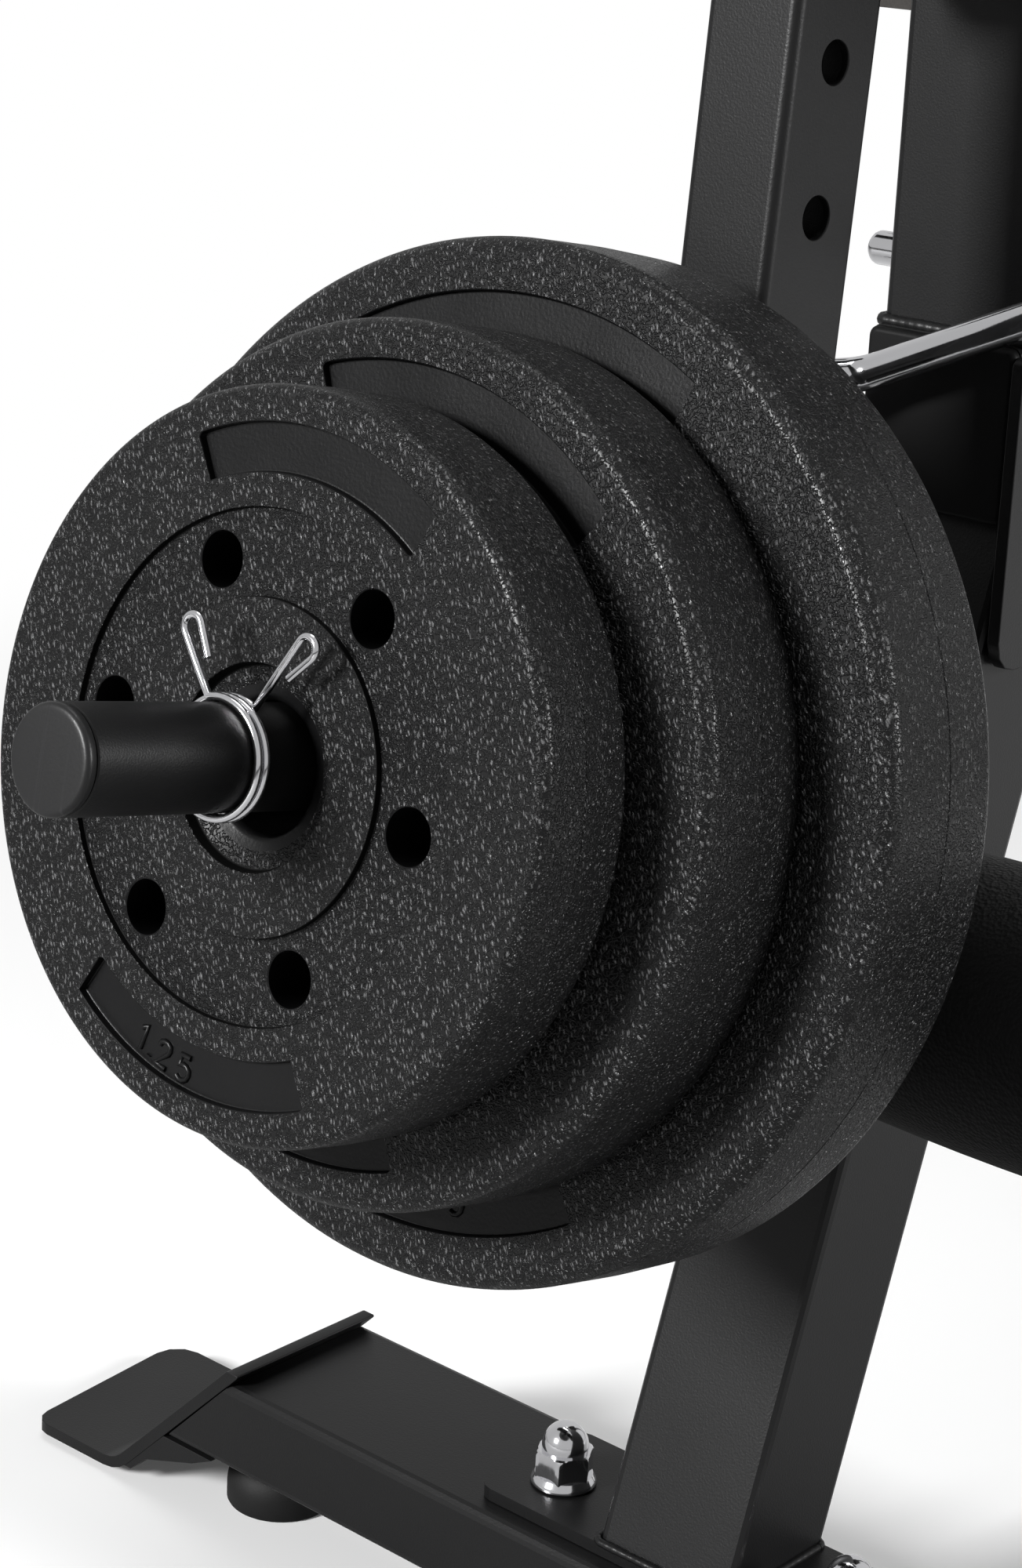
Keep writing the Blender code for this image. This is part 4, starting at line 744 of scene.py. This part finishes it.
def plate_profile(plate):
    """Half section of a plate as (radius, height) points, and the finish of each band."""
    back = -plate.thickness
    rim = plate.radius
    front_edge = rim - RIM_DRAFT * (plate.seam - plate.rounding)
    back_edge = rim - RIM_DRAFT * (plate.thickness - plate.seam - plate.rounding)
    corners = (
        (PLATE_BORE, back, 0.6, SMOOTH),
        *BORE_MOUTH,
        (plate.boss - STEP_DRAFT, 0.0, STEP_ROUNDING, WALL),
        (plate.boss, -RECESS_DEPTH, STEP_ROUNDING, GRAIN),
        (plate.recess, -RECESS_DEPTH, STEP_ROUNDING, WALL),
        (plate.recess + STEP_DRAFT, 0.0, STEP_ROUNDING, GRAIN),
        (front_edge, 0.0, plate.rounding, GRAIN),
        (rim - SEAM_SLOPE, -plate.seam + SEAM_DEPTH, 0.0, GRAIN),
        (rim - SEAM_DEPTH, -plate.seam, 0.0, GRAIN),
        (rim - SEAM_SLOPE, -plate.seam - SEAM_DEPTH, 0.0, GRAIN),
        (back_edge, back, plate.rounding, GRAIN),
    )
    points = []
    marks = []
    for index, corner in enumerate(corners):
        after = corners[(index + 1) % len(corners)]
        rounded = fillet([corners[index - 1][:3], corner[:3], after[:3]], 6)[1:-1]
        points.extend(rounded)
        marks.extend([corner[3]] * len(rounded))
    return points, marks


def pocket_outline(inner, outer, span, grow):
    """Curved pocket between two radii and two angles, grown by a margin, in millimetres."""
    middle = (inner + outer) / 2
    low = math.radians(span[0]) - grow / middle
    high = math.radians(span[1]) + grow / middle
    corner = 1.2 + grow
    steps = 40
    points = []
    for radius, first, last in ((outer + grow, low, high), (inner - grow, high, low)):
        trim = math.copysign(corner / radius, last - first)
        for step in range(steps + 1):
            angle = first + trim + (last - first - 2 * trim) * step / steps
            points.append((radius * math.cos(angle), radius * math.sin(angle)))
        turn = math.copysign(1.0, last - first)
        out = Vector((math.cos(last - trim), math.sin(last - trim)))
        along = Vector((-out.y, out.x)) * turn
        for step in range(1, 4):
            share = QUARTER * step / 4
            depth = radius - turn * corner * (1 - math.cos(share))
            points.append(tuple(out * depth + along * corner * math.sin(share)))
    return points


def pocket_cutter(plate, span):
    """Cutter of a pocket with rounded floor and lip."""
    rings = []
    for height, grow in POCKET_LAYERS:
        outline = pocket_outline(*plate.pocket, span, grow)
        rings.append([(x * MM, y * MM, height * MM) for x, y in outline])
    return skin(rings, False)


def hole_cutter(plate, index):
    """Cutter of a round hole with a slightly rounded mouth."""
    profile = [(HOLE_RADIUS, -plate.thickness - 1.0)]
    profile += [(HOLE_RADIUS + wider, height) for wider, height in HOLE_MOUTH]
    data = turned(profile, 48)
    angle = math.radians(plate.hole_turn - 60.0 * index)
    circle = plate.hole_circle
    spot = Vector((circle * math.cos(angle), circle * math.sin(angle), -RECESS_DEPTH)) * MM
    bmesh.ops.translate(data, verts=data.verts, vec=spot)
    return data


def cut(target, data, name, finish=FIRST_FINISH):
    """Cut a bmesh out of an object; finish is the place of the new faces' finish in its list."""
    for face in data.faces:
        face.material_index = finish
    tool = mesh_object(name, data, list(target.data.materials), target.matrix_world)
    change = target.modifiers.new("cut", "BOOLEAN")
    change.object = tool
    change.operation = "DIFFERENCE"
    change.solver = "EXACT"
    apply_modifier(target, "cut")
    bpy.data.objects.remove(tool)


def add_figures(plate, matrix):
    """Plain raised numbers in the lower pocket, each figure square to the pocket's curve."""
    for index, (figure, angle, radius) in enumerate(FIGURE_PLACES[plate.name]):
        middle = math.radians(angle)
        spot = Vector((radius * math.cos(middle), radius * math.sin(middle), -POCKET_DEPTH)) * MM
        turn = Matrix.Rotation(middle + QUARTER, 4, "Z")
        for part, stroke in enumerate(FIGURES[figure]):
            points = [Vector((x - 1.0, y - 1.5, 0.0)) * FIGURE_UNIT * MM for x, y in stroke]
            name = "_".join(("weight_plate", plate.name, "figure", str(index), str(part)))
            item = tube(name, points, FIGURE_STROKE * MM, FINISH["plate_smooth"], 3)
            item.matrix_world = matrix @ Matrix.Translation(spot) @ turn
            seat_piece(item, "plate_" + plate.name)


def add_plates():
    """Moulded plates with pockets, holes and numbers in place of the plain solids."""
    finishes = [FINISH["plate"], FINISH["plate_smooth"], FINISH["plate_wall"]]
    for plate in PLATES:
        node = "weight_plate_" + plate.name
        face = PLATE_FACE_REACH - plate.below * MM
        matrix = sleeve_matrix() @ Matrix.Translation((0.0, -PLATE_DROP, face))
        points, marks = plate_profile(plate)
        item = mesh_object(node + "_moulded", turned(points, PLATE_STEPS, True, marks), finishes, matrix)
        for index, span in enumerate(plate.spans):
            cut(item, pocket_cutter(plate, span), node + "_pocket_" + str(index), SMOOTH)
        for index in range(6):
            cut(item, hole_cutter(plate, index), node + "_hole_" + str(index), SMOOTH)
        even_shading(item, 24.0)
        seat_piece(item, "plate_" + plate.name, node)
        add_figures(plate, matrix)


def hook(foot, centre, end):
    """Finger loop: a straight wire from the foot, round a circle clockwise and down to its end."""
    def touch(point, side):
        """Angle at which a straight wire from the point meets the circle."""
        away = point - centre
        return math.atan2(away.y, away.x) + side * math.acos(CLIP_LOOP_RADIUS / away.length)

    first = touch(foot, -1.0)
    last = touch(end, 1.0)
    while last > first:
        last -= 2 * math.pi
    steps = 18
    turns = [first + (last - first) * step / steps for step in range(steps + 1)]
    loop = [centre + CLIP_LOOP_RADIUS * Vector((math.cos(angle), math.sin(angle))) for angle in turns]
    return [foot, foot.lerp(loop[0], 0.5), *loop, end]


def add_clip():
    """Bright wire clip: turns round the sleeve and two hooked finger loops."""
    radius = (SLEEVE_RADIUS + CLIP_WIRE) / MM + CLIP_SLACK
    left, right = (hook(*(Vector(place) for place in places)) for places in CLIP_LOOPS)
    first, last = (math.atan2(arm[0].y, arm[0].x) for arm in (left, right))
    sweep = 2 * math.pi * CLIP_TURNS + first - last
    path = [Vector((point.x, point.y, CLIP_RISE / 2)) for point in left[:0:-1]]
    steps = 130
    for step in range(steps + 1):
        share = step / steps
        angle = first - sweep * share
        path.append(Vector((radius * math.cos(angle), radius * math.sin(angle), CLIP_RISE * (0.5 - share))))
    path += [Vector((point.x, point.y, -CLIP_RISE / 2)) for point in right[1:]]
    wire = tube("clip_wire", [point * MM for point in path], CLIP_WIRE, FINISH["chrome"], 6)
    wire.matrix_world = sleeve_matrix() @ Matrix.Translation((0.0, 0.0, PLATE_FACE_REACH + CLIP_REACH))
    seat_piece(wire, "clip", "spring_clip")


def add_roller(name, body, node, matrix):
    """Barrel-shaped foam roller with soft edges."""
    half = ROLLER_LENGTH / 2
    profile = [(ROLLER_BORE, 0.0), (ROLLER_FACE, 0.0)]
    rows = 16
    for row in range(rows + 1):
        share = -1.0 + 2.0 * row / rows
        edge = max(0.0, abs(share) - ROLLER_EDGE) / (1.0 - ROLLER_EDGE)
        radius = ROLLER_RADIUS - ROLLER_BARREL * share * share - ROLLER_ROUNDING * edge * edge
        profile.append((radius, half + half * share * 0.985))
    profile += [(ROLLER_FACE, ROLLER_LENGTH), (ROLLER_BORE, ROLLER_LENGTH)]
    item = mesh_object(name, turned(profile, 96, True), [FINISH["foam"]], matrix)
    seat_piece(item, body, node)


def add_rollers():
    """Foam rollers on both axles."""
    lower = lever_matrix() @ Vector((0.0, 0.0, -LOWER_AXLE_FROM_PIVOT))
    upper = POST + Vector((0.0, 0.0, UPPER_AXLE_Z))
    for hand, side in (("left", -1), ("right", 1)):
        for label, centre, inset in (("lower_", lower, LOWER_ROLLER_INSET),
                                     ("upper_", upper, UPPER_ROLLER_INSET)):
            place = centre + Vector((side * inset, 0.0, 0.0))
            add_roller(label + "foam_sleeve_" + hand, label + "foam_" + hand, label + "roller_" + hand,
                       Matrix.Translation(place) @ Matrix.Rotation(side * QUARTER, 4, "Y"))


def rounded_rings(layers, steps=8):
    """Rounded rectangles of (width, depth, corner radius, height), one above another."""
    rings = []
    for width, depth, radius, height in layers:
        ring = []
        for side_x, side_y, start in ((1, 1, 0.0), (-1, 1, 90.0), (-1, -1, 180.0), (1, -1, 270.0)):
            for step in range(steps + 1):
                angle = math.radians(start + 90.0 * step / steps)
                ring.append((side_x * (width / 2 - radius) + radius * math.cos(angle),
                             side_y * (depth / 2 - radius) + radius * math.sin(angle), height))
        rings.append(ring)
    return rings


def add_cap(node, body, matrix, width, depth, plug=10.0, finish="plastic"):
    """Push-in cap with softly rounded edges and a flat panel."""
    wall = 2 * TUBE_WALL / MM + CAP_PLAY
    inside = (width - wall, depth - wall, 1.0)
    layers = [(*inside, -plug), (*inside, CAP_GAP), (width - CAP_PLAY, depth - CAP_PLAY, CAP_CORNER, CAP_GAP)]
    for step in range(6):
        angle = QUARTER * step / 5
        shrink = 2 * CAP_EDGE * (1 - math.cos(angle))
        layers.append((width - CAP_PLAY - shrink, depth - CAP_PLAY - shrink, CAP_CORNER - 0.25 * shrink,
                       CAP_GAP + 1.0 + CAP_EDGE * math.sin(angle)))
    rings = rounded_rings([tuple(value * MM for value in layer) for layer in layers])
    item = mesh_object(node + "_moulded", skin(rings, False), [FINISH[finish]], matrix)
    even_shading(item, 50.0)
    seat_piece(item, body, node)


def add_caps():
    """Caps of the beam, the inner post, the lever and the backrest's tube."""
    size = BEAM_SIZE / MM
    for label, place, turn in (("front", BEAM_FRONT, QUARTER), ("rear", BEAM_REAR, -QUARTER)):
        matrix = Matrix.Translation((0.0, place, BEAM_TOP - BEAM_SIZE / 2)) @ Matrix.Rotation(turn, 4, "X")
        # The beam's caps take the darker plastic, whose colour is painted shade.
        add_cap("beam_end_cap_" + label, "bench", matrix, size, size, 12.0, "dull_plastic")
    top = Matrix.Translation(POST + Vector((0.0, 0.0, INNER_POST_TOP)))
    add_cap("inner_post_cap", "bench", top, INNER_POST_SIZE / MM, INNER_POST_SIZE / MM)
    for label, place, turn in (("top", LEVER_TOP, 0.0), ("end", -LEVER_BOTTOM, 2 * QUARTER)):
        matrix = lever_matrix() @ Matrix.Translation((0.0, 0.0, place)) @ Matrix.Rotation(turn, 4, "X")
        add_cap("lever_" + label + "_cap", "lever", matrix, LEVER_WIDTH / MM, LEVER_DEPTH / MM)
    end = back_matrix() @ Matrix.Translation((0.0, BACK_TUBE_END, 0.0)) @ Matrix.Rotation(-QUARTER, 4, "X")
    add_cap("backrest_tube_cap", "backrest", end, BACK_TUBE_WIDTH / MM, BACK_TUBE_DEPTH / MM)


def add_lever_arm():
    """Lever tube with round holes."""
    soft = 0.3 * MM
    outer = (LEVER_WIDTH, LEVER_DEPTH, TUBE_CORNER)
    edge = (LEVER_WIDTH - 2 * soft, LEVER_DEPTH - 2 * soft, TUBE_CORNER - soft)
    inner = (LEVER_WIDTH - 2 * TUBE_WALL, LEVER_DEPTH - 2 * TUBE_WALL, TUBE_CORNER - TUBE_WALL)
    layers = [(*edge, -LEVER_BOTTOM), (*outer, -LEVER_BOTTOM + soft), (*outer, LEVER_TOP - soft),
              (*edge, LEVER_TOP), (*inner, LEVER_TOP), (*inner, -LEVER_BOTTOM)]
    item = mesh_object("lever_tube", skin(rounded_rings(layers), True), [FINISH["frame"]], lever_matrix())
    holes = [(LEVER_HOLE_RADIUS, -LEVER_FIRST_HOLE - index * LEVER_HOLE_PITCH)
             for index in range(LEVER_HOLE_COUNT)]
    holes += [(PIVOT_HOLE_RADIUS, 0.0), (AXLE_HOLE_RADIUS, -LOWER_AXLE_FROM_PIVOT)]
    half = LEVER_WIDTH / 2 / MM
    for index, (radius, height) in enumerate(holes):
        near = [(radius / MM + wider, -half - out) for wider, out in TUBE_HOLE_MOUTH]
        far = [(wide, -along) for wide, along in reversed(near)]
        data = turned(near + far, 48)
        place = Matrix.Translation((0.0, 0.0, height)) @ Matrix.Rotation(QUARTER, 4, "Y")
        bmesh.ops.transform(data, matrix=place, verts=data.verts)
        cut(item, data, "lever_hole_" + str(index))
    even_shading(item, 35.0)
    seat_piece(item, "lever", "lever_arm")


def add_sleeve():
    """Smooth sleeve and its push-in end cap."""
    end = SLEEVE_REACH / MM
    radius = SLEEVE_RADIUS / MM
    profile = [(SLEEVE_BORE, SLEEVE_ROOT), (radius, SLEEVE_ROOT), (radius, end - SLEEVE_EDGE),
               (radius - SLEEVE_EDGE, end), (SLEEVE_BORE, end)]
    item = mesh_object("sleeve_tube", turned(profile, 128, True), [FINISH["sleeve"]], sleeve_matrix())
    even_shading(item)
    seat_piece(item, "lever", "weight_sleeve")
    profile = [*SLEEVE_CAP_SIDE, *arc(*SLEEVE_CAP_ARC, 6), *SLEEVE_CAP_TOP]
    data = turned([(wide, end + height) for wide, height in profile], 128)
    item = mesh_object("sleeve_cap_moulded", data, [FINISH["plastic"]], sleeve_matrix())
    even_shading(item, 50.0)
    seat_piece(item, "lever", "sleeve_end_cap")


def hexagon(angle):
    """Distance of a nut's side from its axis at this angle."""
    sixth = math.radians(60.0)
    return NUT_FLAT / math.cos(abs((angle + sixth / 2) % sixth - sixth / 2) - sixth / 2)


def add_nut(node):
    """Closed nut: flanged foot, chamfered hexagon and round dome."""
    low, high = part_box(node)
    data = turned(NUT_FOOT, 64)
    turned(NUT_SIDES, 72, shape=hexagon, data=data)
    turned([*NUT_NECK, *arc(*NUT_DOME_ARC, 9, 88.0)], 48, data=data)
    place = Matrix.Translation(((low.x + high.x) / 2, (low.y + high.y) / 2, low.z))
    item = mesh_object(node + "_bright", data, [FINISH["chrome"]], place, 30.0)
    seat_piece(item, "bench", node)


def add_foot(node):
    """Round rubber foot: wide rim, rounded shoulder and narrow neck."""
    low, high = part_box(node)
    profile = [*FOOT_RIM, *arc(*FOOT_SHOULDER_ARC, 9), FOOT_TOP]
    place = Matrix.Translation(((low.x + high.x) / 2, (low.y + high.y) / 2, 0.0))
    item = mesh_object(node + "_moulded", turned(profile, 72), [FINISH["rubber"]], place, 45.0)
    seat_piece(item, "bench", node)


def add_lock_pin():
    """Bent chrome rod with a domed tip, straight through the post and folded across its front."""
    front = POST.y - LOCK_PIN_FRONT_REACH
    tip = Vector((LOCK_PIN_TIP_X, POST.y, LOCK_PIN_Z))
    fold = Vector((LOCK_PIN_FOLD_X, front, LOCK_PIN_FOLD_Z))
    tail = fold + Vector((-0.7 * LOCK_PIN_TAIL, -0.7 * LOCK_PIN_TAIL, -2 * MM))
    corners = [tip, (LOCK_PIN_SIDE_X, POST.y, LOCK_PIN_Z),
               (LOCK_PIN_SIDE_X, front, LOCK_PIN_Z + LOCK_PIN_RISE), fold, tail]
    turns = [QUARTER * step / 6 for step in range(7)]
    dome = [tip + Vector((0.7 * LOCK_PIN_RADIUS * (1 - math.cos(turn)), 0.0, 0.0)) for turn in turns]
    path = dome + bent(corners, LOCK_PIN_BEND, 14)[1:]
    item = tube("lock_pin_rod", path, LOCK_PIN_RADIUS, FINISH["chrome"], 8)
    for spot, turn in zip(item.data.splines[0].points, turns):
        spot.radius = max(math.sin(turn), 0.15)
    seat_piece(item, "pin", "lock_pin")


def weld(name, points, size, body):
    """Bead of weld along points, with the ripples that a torch leaves."""
    path = []
    for before, after in zip(points, points[1:]):
        count = max(2, int((after - before).length / (0.8 * MM)))
        for step in range(count):
            path.append(before.lerp(after, step / count))
    path.append(points[-1])
    item = tube(name, path, size, FINISH["frame"], 4)
    for index, spot in enumerate(item.data.splines[0].points):
        spot.radius = 1.0 + 0.04 * math.sin(index * 1.7) + 0.05 * math.sin(index * 0.37)
    seat_piece(item, body)


def ring_points(centre, half_x, half_y, corner=0.003):
    """Rounded rectangle of points in a level plane."""
    points = [Vector(point) for point in rounded_rings([(2 * half_x, 2 * half_y, corner, 0.0)], 5)[0]]
    points.append(points[0])
    return [Vector(centre) + point for point in points]


def add_welds():
    """Beads round the post, both legs' feet and the root of the sleeve."""
    half = BEAM_SIZE / 2 + POST_WELD_OUT
    path = ring_points((0.0, POST.y, BEAM_TOP + POST_WELD_OUT), half, half)
    weld("post_weld", path, 1.9 * MM, "bench")
    for label, base in (("front", "front_rubber_foot_left"), ("rear", "rear_base_beam")):
        low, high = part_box(base)
        centre = (0.0, (low.y + high.y) / 2, FLANGE_TOP + 0.4 * MM)
        path = ring_points(centre, LEG_WIDTH / 2 + 0.6 * MM, LEG_HALF_DEPTH + 0.2 * MM)
        weld(label + "_leg_weld", path, 1.3 * MM, "bench")
    turn = sleeve_matrix()
    radius = SLEEVE_RADIUS + 0.4 * MM
    ring = []
    for step in range(41):
        angle = 2 * math.pi * step / 40
        spot = Vector((radius * math.cos(angle), radius * math.sin(angle), 0.0))
        spot.z = LEVER_DEPTH / 2 / math.cos(SLEEVE_RISE) - spot.y * math.tan(SLEEVE_RISE)
        ring.append(turn @ spot)
    weld("sleeve_weld", ring, 2 * MM, "lever")


def add_softened(node, finish, width):
    """Copy of a solid with its sharp edges rounded by this many millimetres, in its place."""
    source = nodes[node]
    data = bmesh.new()
    data.from_mesh(source.data)
    bmesh.ops.remove_doubles(data, verts=data.verts, dist=1e-6)
    bmesh.ops.dissolve_limit(data, angle_limit=math.radians(1.0), verts=data.verts, edges=data.edges)
    item = mesh_object(node + "_soft", data, [FINISH[finish]], source.matrix_world.copy(), SHARP_EDGE)
    rounding = item.modifiers.new("rounding", "BEVEL")
    rounding.width = width * MM
    rounding.segments = 3
    rounding.limit_method = "ANGLE"
    rounding.angle_limit = math.radians(SHARP_EDGE)
    rounding.harden_normals = True
    seat_piece(item, "bench", node)


def swell(item):
    """Let air pressure round a cushion, its underside held, and keep no more than a set change."""
    held = item.vertex_groups.new(name="held")
    lowest = min(vertex.co.z for vertex in item.data.vertices)
    under = [vertex.index for vertex in item.data.vertices if vertex.co.z < lowest + 2.5 * MM]
    held.add(under, 1.0, "REPLACE")
    cloth = item.modifiers.new("cloth", "CLOTH")
    cloth.settings.quality = 5
    cloth.settings.mass = 0.3
    cloth.settings.use_pressure = True
    cloth.settings.uniform_pressure_force = 4.0
    cloth.settings.effector_weights.gravity = 0.0
    cloth.settings.vertex_group_mass = "held"
    cloth.point_cache.frame_start = 1
    cloth.point_cache.frame_end = SWELL_FRAMES
    scene = bpy.context.scene
    for number in range(1, SWELL_FRAMES + 1):
        scene.frame_set(number)
    view = bpy.context.evaluated_depsgraph_get()
    puffed = item.evaluated_get(view).data
    places = [vertex.co.copy() for vertex in puffed.vertices]
    scene.frame_set(1)
    item.modifiers.remove(cloth)
    for vertex, place in zip(item.data.vertices, places):
        move = place - vertex.co
        if move.length > SWELL_REACH:
            move = move.normalized() * SWELL_REACH
        vertex.co = vertex.co + move


def add_cushion(node, body, matrix, outline):
    """Stuffed vinyl cushion in place of the plain pad, with piping round its lower edge."""
    source = nodes[node]
    data = bmesh.new()
    data.from_mesh(source.data)
    bmesh.ops.transform(data, matrix=matrix.inverted(), verts=data.verts)
    item = mesh_object(node + "_stuffed", data, [FINISH["vinyl"]], matrix)
    mesh_step = item.modifiers.new("even_mesh", "REMESH")
    mesh_step.mode = "VOXEL"
    mesh_step.voxel_size = 5.0 * MM
    apply_modifier(item, "even_mesh")
    swell(item)
    item.data.shade_smooth()
    finer = item.modifiers.new("finer", "SUBSURF")
    finer.levels = 1
    finer.render_levels = 1
    seat_piece(item, body, node)
    path = [Vector((x, y, 1.6 * MM)) for x, y in outline]
    piping = tube(node + "_piping", path, 2.2 * MM, FINISH["vinyl"], 4, closed=True)
    piping.matrix_world = matrix
    seat_piece(piping, body)


def pad_outline(half_low, half_high, length):
    """Plan of a cushion, slightly narrower at one end, with rounded corners."""
    start = 4 * MM
    end = length - start
    shape = ((-half_low, start), (half_low, start), (half_high, end), (-half_high, end))
    return fillet([(x, y, PAD_CORNER) for x, y in shape], 8, True)


def add_cushions():
    """Seat and backrest cushions, swollen by a short cloth simulation."""
    low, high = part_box("seat_pad")
    half = (high.x - low.x) / 2 - 5 * MM
    seat = Matrix.Translation((0.0, low.y, low.z))
    add_cushion("seat_pad", "bench", seat, pad_outline(half, half, high.y - low.y))
    back = back_matrix() @ Matrix.Translation((0.0, BACK_PAD_START, BACK_PAD_LIFT))
    outline = pad_outline(BACK_PAD_LOW_HALF, BACK_PAD_HIGH_HALF, BACK_PAD_LENGTH)
    add_cushion("backrest_pad", "backrest", back, outline)


def main():
    """Dress the whole bench."""
    dress_nodes()
    add_camera()
    add_studio()
    add_plates()
    add_clip()
    add_sleeve()
    add_lever_arm()
    add_caps()
    add_lock_pin()
    add_welds()
    for label in ("front", "rear"):
        for hand in ("left", "right"):
            add_nut(label + "_acorn_nut_" + hand)
    for hand in ("left", "right"):
        add_foot("front_rubber_foot_" + hand)
        for name, finish, width in SOFTENED:
            add_softened(name + hand, finish, width)
    add_rollers()
    add_cushions()


main()
bpy.context.view_layer.update()
